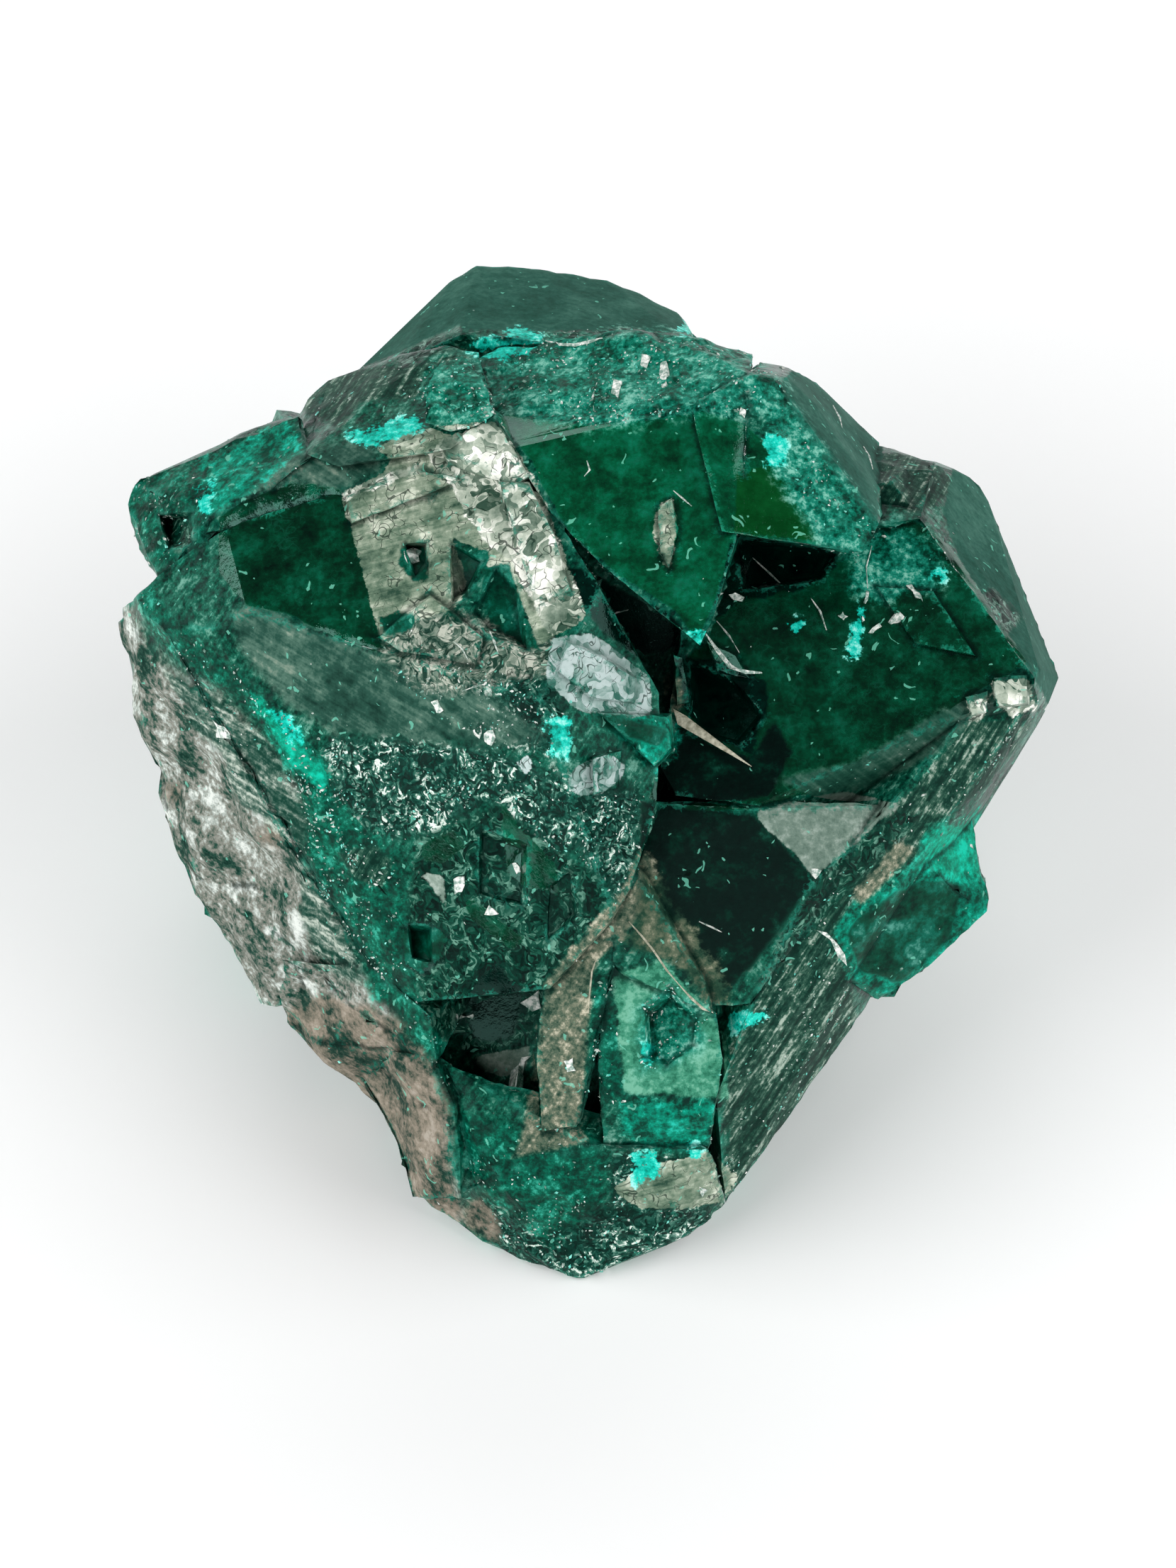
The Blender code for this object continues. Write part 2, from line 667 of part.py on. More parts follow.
def on_face(face, x, up):
    """The point of this flat face that the viewer sees at x and up."""
    first, second, third = face
    normal = (second - first).cross(third - first).normalized()
    start = seen(x, up, 0.0)
    return start + TOWARDS_VIEWER * ((first - start).dot(normal) / TOWARDS_VIEWER.dot(normal))


def slab_corners(face, outline, foot, top, taper):
    """Corners of a slab over an outline on a face, from the height of its foot to that of its top.

    The top is full at the first corner of the outline and runs out towards the farthest one.
    """
    spots = [on_face(face, x, up) for x, up in outline]
    middle = sum(spots, Vector()) / len(spots)
    lower = [spot + TOWARDS_VIEWER * foot for spot in spots]
    reach = max((spot - spots[0]).length for spot in spots)
    upper = []
    for spot in spots:
        height = top * (1.0 - RUN_OUT * (spot - spots[0]).length / reach)
        upper.append(middle + (spot - middle) * taper + TOWARDS_VIEWER * height)
    return lower + upper


def plate(name, face, outline, thickness):
    return block(name, slab_corners(face, outline, -CLEAR, thickness, PLATE_TAPER))


def hollow(name, face, outline, depth):
    """A cutter for a hollow, wide at its mouth and narrow at its floor."""
    cutter = block(name, slab_corners(face, outline, CLEAR, -depth, HOLLOW_TAPER))
    cutter.hide_render = True
    cutter.display_type = "WIRE"
    return cutter


def grown_crystal(name, foot, growth, half_width, length):
    """A six-sided crystal that ends in three rhomb faces, which meet at its tip."""
    axis = growth.normalized()
    across = axis.orthogonal().normalized()
    around = [Matrix.Rotation(math.radians(60.0 * turn), 3, axis) @ across for turn in range(6)]
    tip = foot + axis * length
    sides = [foot + side * half_width for side in around]
    sides += [tip + side * half_width for side in around]
    shape = hull(sides)
    for side in around[::2]:
        normal = axis * math.cos(RHOMB_TILT) + side * math.sin(RHOMB_TILT)
        level = normal.orthogonal().normalized()
        shape = sliced(shape, (tip, tip + level, tip + normal.cross(level)))
    return object_of(name, shape)


def combine(base, others, operation):
    """The mesh of the base with the others joined to it or cut from it. All are used up."""
    for number, other in enumerate(others):
        step = base.modifiers.new(f"{operation.lower()}_{number}", "BOOLEAN")
        step.operation = operation
        step.solver = "EXACT"
        step.object = other
    graph = bpy.context.evaluated_depsgraph_get()
    mesh = bpy.data.meshes.new_from_object(base.evaluated_get(graph))
    for used in [base] + others:
        bpy.data.objects.remove(used)
    return mesh


def all_blocks():
    blocks = [block(name, **form) for name, form in BLOCKS.items()]
    for number, form in enumerate(BACK_CRYSTALS):
        blocks.append(grown_crystal(f"back_crystal_{number}", *form))
    for number, form in enumerate(PLATES):
        blocks.append(plate(f"plate_{number}", *form))
    return blocks


def all_hollows():
    cutters = [hollow(f"hollow_{number}", *form) for number, form in enumerate(HOLLOWS)]
    cutters.append(hollow("stub_hollow", STUB_FACE, STUB_MOUTH, STUB_DEPTH))
    cutters.append(hollow("tip_hollow", TIP_FACE, TIP_MOUTH, TIP_DEPTH))
    return cutters


def cut_flat(shape, point, outward):
    """Takes off all that lies beyond a plane and closes the cut with one flat face."""
    every = list(shape.verts) + list(shape.edges) + list(shape.faces)
    bmesh.ops.bisect_plane(shape, geom=every, plane_co=point, plane_no=outward, clear_outer=True)
    bmesh.ops.holes_fill(shape, edges=[e for e in shape.edges if e.is_boundary])


def drop_splinters(shape):
    """Removes the crumbs that a hollow cuts loose, which leaves the largest body."""
    bodies = []
    waiting = set(shape.verts)
    while waiting:
        body = {waiting.pop()}
        front = list(body)
        while front:
            near = {edge.other_vert(vert) for vert in front for edge in vert.link_edges}
            front = list(near - body)
            body |= near
        waiting -= body
        bodies.append(body)
    bodies.sort(key=len)
    for body in bodies[:-1]:
        bmesh.ops.delete(shape, geom=list(body), context="VERTS")


def roughness(point):
    """Height of the lumps here: full well inside a patch, none beyond its radius or at the ground."""
    most = 0.0
    for middle, radius, height in ROUGH_GROUND:
        nearness = max(0.0, 1.0 - (point - middle).length / radius)
        most = max(most, height * min(1.0, FULL_REACH * nearness))
    return most * min(1.0, max(0.0, point.z / FOOT_FADE))


def split_rough_ground(shape):
    """Splits the long edges on broken ground until its triangles are small."""
    for _ in range(SPLIT_ROUNDS):
        long_edges = []
        for edge in shape.edges:
            middle = (edge.verts[0].co + edge.verts[1].co) / 2.0
            if edge.calc_length() > ROUGH_EDGE and roughness(middle) > 0.0:
                long_edges.append(edge)
        if not long_edges:
            return
        bmesh.ops.subdivide_edges(shape, edges=long_edges, cuts=1)
        bmesh.ops.triangulate(shape, faces=shape.faces)


def raise_lumps(shape):
    shape.normal_update()
    for vert in shape.verts:
        height = roughness(vert.co)
        lump = noise.noise(vert.co / LUMP_SPACING + NOISE_ORIGIN)
        grain = noise.noise(vert.co / GRAIN_SPACING + NOISE_ORIGIN)
        vert.co += vert.normal * height * (lump + GRAIN_SHARE * grain)


def crystal_material():
    material = bpy.data.materials.new("dioptase")
    material.use_nodes = True
    shader = material.node_tree.nodes["Principled BSDF"]
    shader.inputs["Base Color"].default_value = CRYSTAL_GREEN
    shader.inputs["Roughness"].default_value = CRYSTAL_ROUGHNESS
    shader.inputs["IOR"].default_value = CRYSTAL_IOR
    shader.inputs["Transmission Weight"].default_value = CRYSTAL_CLEARNESS
    return material


def set_down(shape):
    """Moves the shape so that it rests at height 0 with the middle of its box at the origin."""
    lows = [min(v.co[axis] for v in shape.verts) for axis in range(3)]
    highs = [max(v.co[axis] for v in shape.verts) for axis in range(3)]
    shift = Vector((-(lows[0] + highs[0]) / 2.0, -(lows[1] + highs[1]) / 2.0, -lows[2]))
    bmesh.ops.translate(shape, vec=shift, verts=shape.verts)


def cluster_shape():
    """The whole cluster in millimetres, at rest on the ground."""
    blocks = all_blocks()
    mass = object_of_mesh("mass", combine(blocks[0], blocks[1:], "UNION"))
    mesh = combine(mass, all_hollows(), "DIFFERENCE")
    shape = bmesh.new()
    shape.from_mesh(mesh)
    cut_flat(shape, standing(0.0, 0.0, 0.0), standing(0.0, 0.0, -1.0))
    bmesh.ops.remove_doubles(shape, verts=shape.verts, dist=WELD)
    drop_splinters(shape)
    bmesh.ops.triangulate(shape, faces=shape.faces)
    split_rough_ground(shape)
    raise_lumps(shape)
    set_down(shape)
    return shape


clear_scene()
cluster = cluster_shape()
bmesh.ops.scale(cluster, vec=(MM, MM, MM), verts=cluster.verts)
dioptase_cluster = object_of("dioptase_cluster", cluster)
dioptase_cluster.data.materials.append(crystal_material())
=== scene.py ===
"""Looks of the dioptase cluster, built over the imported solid."""

import math

import bmesh
import bpy
import numpy as np
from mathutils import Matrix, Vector, noise
from mathutils.bvhtree import BVHTree
from mathutils.kdtree import KDTree


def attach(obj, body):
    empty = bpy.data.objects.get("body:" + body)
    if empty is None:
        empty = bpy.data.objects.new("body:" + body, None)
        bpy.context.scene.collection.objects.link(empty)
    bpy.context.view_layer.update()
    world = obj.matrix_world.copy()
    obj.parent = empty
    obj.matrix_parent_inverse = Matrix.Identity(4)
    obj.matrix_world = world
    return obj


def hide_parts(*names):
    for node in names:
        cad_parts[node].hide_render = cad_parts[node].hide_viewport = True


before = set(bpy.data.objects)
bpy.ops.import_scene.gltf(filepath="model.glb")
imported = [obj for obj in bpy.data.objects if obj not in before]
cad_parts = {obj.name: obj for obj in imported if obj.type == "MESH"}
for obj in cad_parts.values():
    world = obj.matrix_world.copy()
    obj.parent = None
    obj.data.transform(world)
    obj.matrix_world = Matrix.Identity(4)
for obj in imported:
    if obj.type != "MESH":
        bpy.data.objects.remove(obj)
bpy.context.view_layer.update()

MM = 0.001
CLUSTER = "dioptase_cluster"

# The photograph: its middle, its scale, and how its viewer stands to the specimen.
PHOTO_SIZE = (1659, 2212)
PHOTO_MIDDLE = (828.0, 1087.0)
PIXELS_PER_MM = 48.0
VIEW_ELEVATION = math.radians(50.0)
MIDDLE_HEIGHT = 9.6  # mm
SET_DOWN = (-0.0202, -2.4069)  # mm
SCALE_PLANE = 3.0  # mm in front of the middle, where PIXELS_PER_MM holds
LENS = 400.0  # mm
SENSOR = 36.0  # mm
CAMERA_DISTANCE = LENS * PHOTO_SIZE[1] / PIXELS_PER_MM / SENSOR  # mm from the scale plane

SINE = math.sin(VIEW_ELEVATION)
COSINE = math.cos(VIEW_ELEVATION)
RIGHT = np.array([1.0, 0.0, 0.0])
UP = np.array([0.0, SINE, COSINE])
OUT = np.array([0.0, -COSINE, SINE])
MIDDLE = np.array([SET_DOWN[0], SET_DOWN[1], MIDDLE_HEIGHT])

FINE_EDGE = 0.28  # mm, longest edge where the viewer sees it
COARSE_EDGE = 0.8  # mm, elsewhere
SHARP_ANGLE = 0.5  # radians between faces, for an edge that shows as one
SMOOTH_ANGLE = 0.3  # radians between faces that shade as one
EDGE_STEP = 0.12  # mm
VIEW_SPREAD = 5  # rounds of smoothing between what the viewer sees and what is hidden
SKIN = 0.02  # mm above the surface from which a line of sight starts
SIGHT_START = 0.03  # mm along that line, where the search for what hides it starts
CHIP_SEED = 3.7
NOISE_SEED = 11  # for noise_vector, which otherwise gives other values on each run
HIDDEN_SPACING = 4.5  # mm
HIDDEN_STRENGTH = 3.0  # mm inside its outline per unit of noise

# Relief of the skin: heights and spacings in mm.
PLAIN_LUMPS = (0.012, 0.9)
SOFT_LUMPS = ((0.12, 1.3), (0.05, 0.5))
CHIP_RELIEF = (0.28, 0.75)
ROUGH_LUMPS = (0.03, 0.3)
RIDGES = (0.045, 2.2, 0.12)  # height, ridges per mm across, and along
WEAR = (0.07, 0.3, 0.45)  # depth at an outer edge, its reach, and the spacing of its nicks
FOOT_HEIGHT = 0.15  # below it the skin stays flat on the ground

# Sizes in the material: waves or cells per millimetre.
WIDE_SCALE = 0.3
BLOTCH_SCALE = 0.75
MIDDLING_SCALE = 1.3
SHOVE_SCALE = 1.6
CRACK_SCALE = 2.2
FLAKE_SCALE = 3.2
FINE_SCALE = 5.0
CHIP_SCALE = 8.5
SHOVE = 1.1  # mm by which noise moves the cells
LINE_SCALES = {"sheen": 6.0, "down": 4.5, "steep": 5.5}
LINE_STRETCH = 0.4
CONTRAST = 1.5
# Pale teal on the outer edges, partly wear and partly a painted highlight of light through thin
# edges: its reach.
RIM_WEAR_AND_HIGHLIGHT_REACH = 0.16  # mm
# Painted shade in the creases: how far it reaches from an inner edge, and how dark it gets.
CREASE_SHADE_REACH = 0.22  # mm
CREASE_SHADE_DEPTH = 0.75
SHINING_CREASE_SHADE_DEPTH = 0.15
REFRACTION = 1.66
SPECULAR = 0.08
SPECULAR_TINT = (0.45, 1.0, 0.85, 1)
ABSORPTION_COLOUR = (0.0, 0.62, 0.42, 1)
ABSORPTION_DENSITY = 260.0  # per metre
BUMP_STRENGTH = 0.3
BUMP_DISTANCE = 0.04  # mm

# The studio: place (mm), width and height (mm) and power (W) of each light.
SOFTBOXES = {
    "left": ((-460, -130, 280), 640, 420, 3.2),
    "right": ((430, -70, 310), 560, 420, 2.1),
    "back": ((60, 500, 300), 700, 300, 1.7),
    "front": ((60, -500, 210), 640, 300, 1.3),
}
LIGHTS_AIM = (0, 0, 8)
WORLD_COLOUR = (0.9, 0.93, 0.95, 1)
WORLD_STRENGTH = 0.12
FLOOR_REACH = 3.0  # m
FLOOR_COLOUR = (0.95, 0.95, 0.95, 1)
FLOOR_ROUGHNESS = 0.6

# Outlines of what the viewer sees on the faces, in pixels of the photograph.
WALL = [
    [(100, 780), (180, 830), (200, 900), (240, 945), (313, 981), (395, 1068), (439, 1160),
     (422, 1204), (455, 1253), (500, 1370), (560, 1430), (600, 1480), (640, 1560), (630, 1640),
     (650, 1700), (640, 1820), (500, 1820), (80, 1500)],
]
BROWN = [
    [(455, 1400), (521, 1425), (608, 1440), (640, 1560), (625, 1640), (650, 1710), (640, 1800),
     (500, 1800), (440, 1560), (380, 1440)],
    [(655, 1705), (690, 1680), (760, 1720), (780, 1785), (700, 1760), (660, 1730)],
    [(380, 1150), (405, 1165), (395, 1190), (365, 1180)],
    [(225, 1105), (250, 1105), (255, 1130), (232, 1135)],
]
FIBRE = [
    [(237, 948), (313, 981), (395, 1068), (439, 1155), (428, 1188), (384, 1171), (330, 1128),
     (313, 1068), (270, 1024)],
    [(422, 1215), (455, 1253), (488, 1319), (512, 1373), (499, 1390), (455, 1368), (425, 1300)],
]
FROST = [
    [(700, 1690), (860, 1700), (1010, 1700), (1000, 1750), (800, 1815), (700, 1770)],
    [(460, 1040), (560, 1040), (700, 1060), (800, 1100), (835, 1165), (790, 1210), (700, 1130),
     (600, 1175), (510, 1190), (455, 1110)],
    [(560, 960), (640, 950), (780, 940), (800, 1010), (780, 1060), (700, 1050), (640, 1010)],
    [(860, 1625), (1030, 1640), (1020, 1700), (930, 1710), (860, 1700)],
    [(800, 1120), (900, 1110), (905, 1200), (870, 1270), (820, 1210)],
]
TEAL = [
    [(905, 1424), (945, 1388), (988, 1428), (994, 1469), (946, 1506), (905, 1512), (897, 1469)],
    [(600, 512), (678, 508), (703, 541), (708, 590), (671, 600), (608, 585), (592, 560)],
    [(690, 500), (780, 480), (880, 470), (980, 472), (1070, 510), (1105, 550), (1090, 580),
     (1000, 580), (920, 592), (830, 600), (742, 590), (708, 560)],
    [(1085, 560), (1110, 570), (1240, 745), (1215, 785), (1160, 768), (1110, 690), (1080, 640)],
    [(1215, 770), (1260, 730), (1330, 780), (1320, 830), (1240, 850), (1190, 830)],
]
BRUSHED = [
    [(347, 855), (404, 868), (468, 900), (540, 925), (600, 945), (700, 985), (770, 1040),
     (700, 1055), (600, 1045), (480, 1035), (400, 990), (350, 930), (320, 880)],
    [(330, 700), (420, 640), (520, 620), (540, 665), (478, 692), (410, 680), (345, 705)],
    [(1090, 1080), (1300, 1010), (1380, 970), (1400, 985), (1330, 1050), (1200, 1110)],
]
ASH = [
    [(530, 925), (545, 900), (600, 862), (660, 872), (700, 880), (790, 905), (780, 950), (700, 960),
     (640, 975), (590, 965)],
]
MOSS = [
    [(200, 800), (237, 866), (330, 943), (412, 1014), (466, 1090), (499, 1155), (564, 1199),
     (575, 1286), (586, 1395), (640, 1480), (650, 1600), (600, 1480), (530, 1410), (499, 1313),
     (455, 1253), (422, 1204), (439, 1166), (417, 1106), (379, 1046), (330, 981), (259, 932),
     (190, 850)],
    [(835, 1379), (858, 1385), (870, 1457), (880, 1530), (882, 1560), (852, 1550), (835, 1516)],
    [(170, 680), (290, 655), (300, 720), (275, 800), (200, 800)],
    [(640, 1560), (760, 1600), (830, 1600), (860, 1640), (850, 1700), (780, 1760), (700, 1700),
     (645, 1640)],
]
STRIATED = [
    [(1370, 1020), (1460, 1010), (1400, 1100), (1300, 1190), (1190, 1290), (1120, 1400),
     (1060, 1560), (1020, 1600), (1030, 1480), (1110, 1340), (1200, 1200), (1290, 1110)],
    [(1150, 1310), (1195, 1360), (1210, 1460), (1100, 1620), (1010, 1720), (1040, 1560)],
    [(423, 579), (455, 530), (506, 520), (595, 512), (650, 500), (595, 560), (506, 565),
     (481, 604)],
    [(1235, 640), (1300, 640), (1360, 690), (1290, 725), (1240, 705)],
    [(478, 1205), (530, 1190), (555, 1215), (540, 1250), (505, 1240)],
]
GREY = [
    [(490, 525), (590, 405), (648, 355), (655, 372), (650, 455), (600, 480), (545, 505)],
    [(640, 360), (760, 360), (900, 390), (990, 455), (980, 472), (900, 468), (800, 466),
     (650, 466)],
    [(1100, 545), (1125, 510), (1180, 550), (1245, 630), (1238, 745), (1150, 640)],
    [(1350, 640), (1400, 670), (1510, 950), (1480, 995), (1455, 945), (1390, 860), (1350, 780),
     (1330, 720)],
]
MINT = [
    [(864, 1376), (934, 1353), (986, 1411), (1021, 1457), (1027, 1551), (946, 1545), (882, 1540)],
]
PALE = [
    [(1062, 1148), (1110, 1131), (1190, 1116), (1270, 1135), (1150, 1237), (1112, 1195)],
    [(666, 1492), (748, 1475), (740, 1510), (713, 1518), (678, 1512)],
    [(588, 1230), (625, 1236), (631, 1289), (620, 1265), (605, 1242)],
]
# Dark faces; the first two outlines are painted shadow in the slits under the top crystal.
DARK_AND_SLIT_SHADOWS = [
    [(557, 509), (608, 477), (678, 468), (700, 474), (660, 488), (621, 497), (570, 519)],
    [(840, 466), (905, 464), (905, 476), (845, 478)],
    [(226, 727), (262, 722), (275, 760), (262, 785), (235, 770)],
    [(1360, 850), (1400, 830), (1440, 870), (1420, 900), (1380, 880)],
    [(590, 1185), (640, 1165), (700, 1135), (790, 1205), (850, 1240), (860, 1270), (770, 1385),
     (745, 1480), (660, 1490), (600, 1440), (575, 1290)],
    [(1150, 1240), (1270, 1140), (1300, 1150), (1200, 1250), (1120, 1340), (1060, 1400)],
]
DEEP = [
    [(309, 732), (345, 705), (410, 680), (478, 690), (481, 700), (506, 782), (538, 912), (525, 922),
     (468, 897), (404, 865), (347, 852), (309, 808)],
    [(1215, 790), (1250, 745), (1290, 735), (1340, 770), (1400, 860), (1450, 935), (1395, 965),
     (1350, 995), (1300, 1035), (1200, 1095), (1130, 1125), (1065, 1140), (950, 1150), (915, 1125),
     (940, 1060), (960, 940), (1000, 890), (1040, 800)],
    [(707, 1131), (735, 1170), (780, 1215), (790, 1262), (740, 1250), (715, 1230)],
    [(600, 1190), (640, 1170), (655, 1195), (625, 1218), (595, 1215)],
    [(655, 1262), (700, 1295), (740, 1325), (725, 1340), (665, 1300)],
]
# Painted shadow in the deep pockets below the overhanging crystals, almost black.
RECESS_SHADOW = [
    [(960, 1000), (1000, 1045), (1060, 1068), (1090, 1010), (1120, 1060), (1090, 1125),
     (1000, 1140), (930, 1135), (925, 1080)],
    [(905, 1130), (1062, 1148), (1112, 1198), (1150, 1240), (1080, 1340), (1025, 1400), (985, 1390),
     (930, 1310), (900, 1240)],
]
GLOW = [
    [(700, 585), (742, 590), (830, 600), (920, 592), (990, 580), (1050, 600), (1100, 640),
     (1157, 768), (1036, 756), (1030, 790), (1010, 840), (985, 905), (947, 857), (865, 805),
     (805, 755), (775, 700), (750, 650)],
]
LEAF = [
    [(1040, 668), (1090, 655), (1112, 690), (1155, 762), (1036, 752)],
]
# Painted shadow: near black where recesses and the undersides of overhangs lie in shade.
BLACK_SHADOW = [
    [(1030, 768), (1060, 760), (1180, 778), (1180, 800), (1120, 835), (1040, 850), (1005, 880)],
    [(952, 925), (1000, 925), (1045, 945), (1085, 960), (1085, 1000), (1060, 1065), (1000, 1040),
     (962, 1000)],
    [(772, 790), (815, 800), (860, 825), (955, 870), (975, 910), (900, 930), (850, 890),
     (822, 850)],
    [(563, 1308), (600, 1300), (634, 1318), (628, 1352), (600, 1374), (570, 1362)],
    [(660, 1400), (700, 1360), (735, 1395), (725, 1460), (670, 1470)],
]
EMERALD = [
    [(277, 655), (404, 592), (423, 630), (392, 655), (341, 706), (290, 725)],
    [(810, 1000), (950, 1010), (955, 1060), (925, 1085), (880, 1040)],
    [(1380, 1140), (1400, 1200), (1410, 1270), (1395, 1295), (1310, 1370), (1260, 1410),
     (1195, 1380), (1175, 1310), (1200, 1280), (1300, 1215)],
    [(882, 1556), (1004, 1551), (1015, 1591), (975, 1622), (911, 1620), (876, 1591)],
]
JADE = [
    [(1310, 1165), (1390, 1160), (1395, 1240), (1330, 1240), (1300, 1215)],
    [(357, 981), (379, 992), (412, 1024), (455, 1084), (455, 1112), (422, 1095), (395, 1052),
     (368, 1014)],
]
# Cleavage faces whose silvery grey is painted sheen, the light they would reflect, crossed by real
# dark cracks.
SILVER_SHEEN = [
    [(481, 697), (538, 668), (552, 650), (530, 632), (560, 615), (600, 605), (650, 600), (700, 592),
     (722, 625), (755, 680), (775, 730), (800, 790), (820, 850), (825, 872), (760, 912), (735, 850),
     (715, 797), (685, 800), (691, 782), (637, 760), (652, 795), (659, 821), (640, 860), (600, 870),
     (560, 880), (538, 905)],
    [(930, 712), (950, 700), (955, 745), (946, 805), (932, 795), (922, 740)],
    [(862, 1676), (905, 1654), (940, 1638), (1004, 1626), (1039, 1661), (1020, 1696), (960, 1706),
     (900, 1704)],
]
# Painted highlights: the brightest parts of the cleavage faces, where they would mirror the light.
BRIGHT_GLEAM = [
    [(600, 640), (640, 605), (700, 592), (722, 625), (755, 680), (775, 730), (800, 790), (820, 850),
     (825, 872), (775, 900), (745, 840), (722, 790), (690, 770), (655, 722), (640, 690)],
    [(480, 695), (540, 668), (590, 655), (598, 664), (540, 686), (486, 706)],
    [(1396, 959), (1456, 956), (1462, 1003), (1424, 1013), (1405, 991)],
    [(1361, 991), (1392, 984), (1392, 1013), (1367, 1016)],
]
# Pale plates whose bluish white is painted sheen.
SHEET_SHEEN = [
    [(778, 900), (833, 892), (866, 914), (916, 955), (920, 1006), (870, 1016), (814, 1002),
     (770, 962)],
    [(797, 1108), (812, 1085), (829, 1073), (858, 1062), (882, 1079), (876, 1102), (852, 1120),
     (818, 1123)],
    [(728, 1076), (745, 1066), (753, 1080), (742, 1094)],
]
PIT = [
    [(567, 767), (595, 767), (608, 795), (602, 821), (582, 821), (563, 795)],
    [(684, 802), (716, 795), (729, 840), (761, 916), (741, 916), (691, 878), (681, 833)],
    [(637, 760), (691, 782), (678, 808), (659, 821), (652, 795)],
    [(535, 870), (560, 862), (590, 872), (575, 890), (545, 895)],
    [(822, 1000), (880, 1012), (945, 1030), (930, 1050), (880, 1040), (840, 1018)],
    [(563, 1312), (600, 1305), (632, 1320), (624, 1350), (596, 1370), (572, 1358)],
    [(1215, 1290), (1300, 1242), (1360, 1250), (1340, 1325), (1270, 1385), (1215, 1370),
     (1195, 1320)],
]
HAZE = [
    [(1090, 1100), (1200, 1075), (1290, 1025), (1335, 995), (1358, 1016), (1330, 1056),
     (1230, 1110), (1150, 1125)],
]
TAN = [
    [(881, 1254), (905, 1195), (925, 1215), (911, 1283), (870, 1330), (841, 1353), (832, 1399),
     (829, 1457), (823, 1516), (817, 1597), (829, 1612), (724, 1632), (736, 1609), (753, 1516),
     (759, 1452), (771, 1382)],
    [(941, 952), (963, 960), (960, 1012), (945, 1005)],
    [(1265, 1190), (1290, 1200), (1215, 1275), (1205, 1260)],
]
CREST = [
    [(905, 1225), (935, 1250), (985, 1330), (1035, 1400), (1020, 1425), (985, 1400), (940, 1350),
     (915, 1345), (880, 1335), (900, 1285)],
]
# Painted highlights: bright cyan where light shines through thin edges.
CYAN_HIGHLIGHTS = [
    [(893, 1632), (925, 1626), (930, 1660), (900, 1668)],
    [(659, 487), (741, 461), (761, 477), (748, 503), (710, 509), (684, 503)],
    [(490, 612), (590, 588), (600, 600), (525, 632)],
    [(960, 455), (990, 460), (985, 475), (960, 470)],
    [(372, 995), (400, 1005), (430, 1050), (405, 1040)],
    [(770, 1025), (805, 1010), (800, 1062), (780, 1060)],
    [(900, 1475), (925, 1475), (925, 1500), (900, 1500)],
    [(1022, 1431), (1078, 1430), (1060, 1450), (1030, 1452)],
    [(969, 1614), (983, 1616), (983, 1649), (973, 1640)],
    [(968, 890), (1000, 890), (987, 920)],
    [(1108, 878), (1135, 875), (1125, 900)],
    [(1212, 855), (1220, 860), (1206, 925), (1198, 920)],
    [(1076, 618), (1100, 612), (1105, 650), (1082, 655)],
    [(1304, 804), (1330, 806), (1328, 815), (1306, 814)],
    [(275, 690), (300, 680), (292, 725), (280, 715)],
]
LAYERS = {
    "wall": WALL, "brown": BROWN, "fibre": FIBRE, "frost": FROST, "moss": MOSS,
    "brushed": BRUSHED, "striated": STRIATED, "ash": ASH, "grey": GREY, "mint": MINT,
    "pale": PALE, "dark": DARK_AND_SLIT_SHADOWS, "deep": DEEP, "glow": GLOW, "leaf": LEAF, "recess_shadow": RECESS_SHADOW,
    "teal": TEAL, "black_shadow": BLACK_SHADOW, "emerald": EMERALD, "jade": JADE, "silver_sheen": SILVER_SHEEN,
    "bright": BRIGHT_GLEAM, "sheet": SHEET_SHEEN, "pit": PIT, "haze": HAZE, "tan": TAN, "crest": CREST,
    "cyan_highlight": CYAN_HIGHLIGHTS,
}
FAR_OUTSIDE = -3.0  # mm
# What the viewer can't see gets patches of these, each a share of the ground.
HIDDEN_SHARES = {
    "moss": 0.0, "striated": 0.1, "grey": 0.05, "frost": -0.15, "emerald": -0.36, "dark": 0.0,
    "teal": -0.34,
}

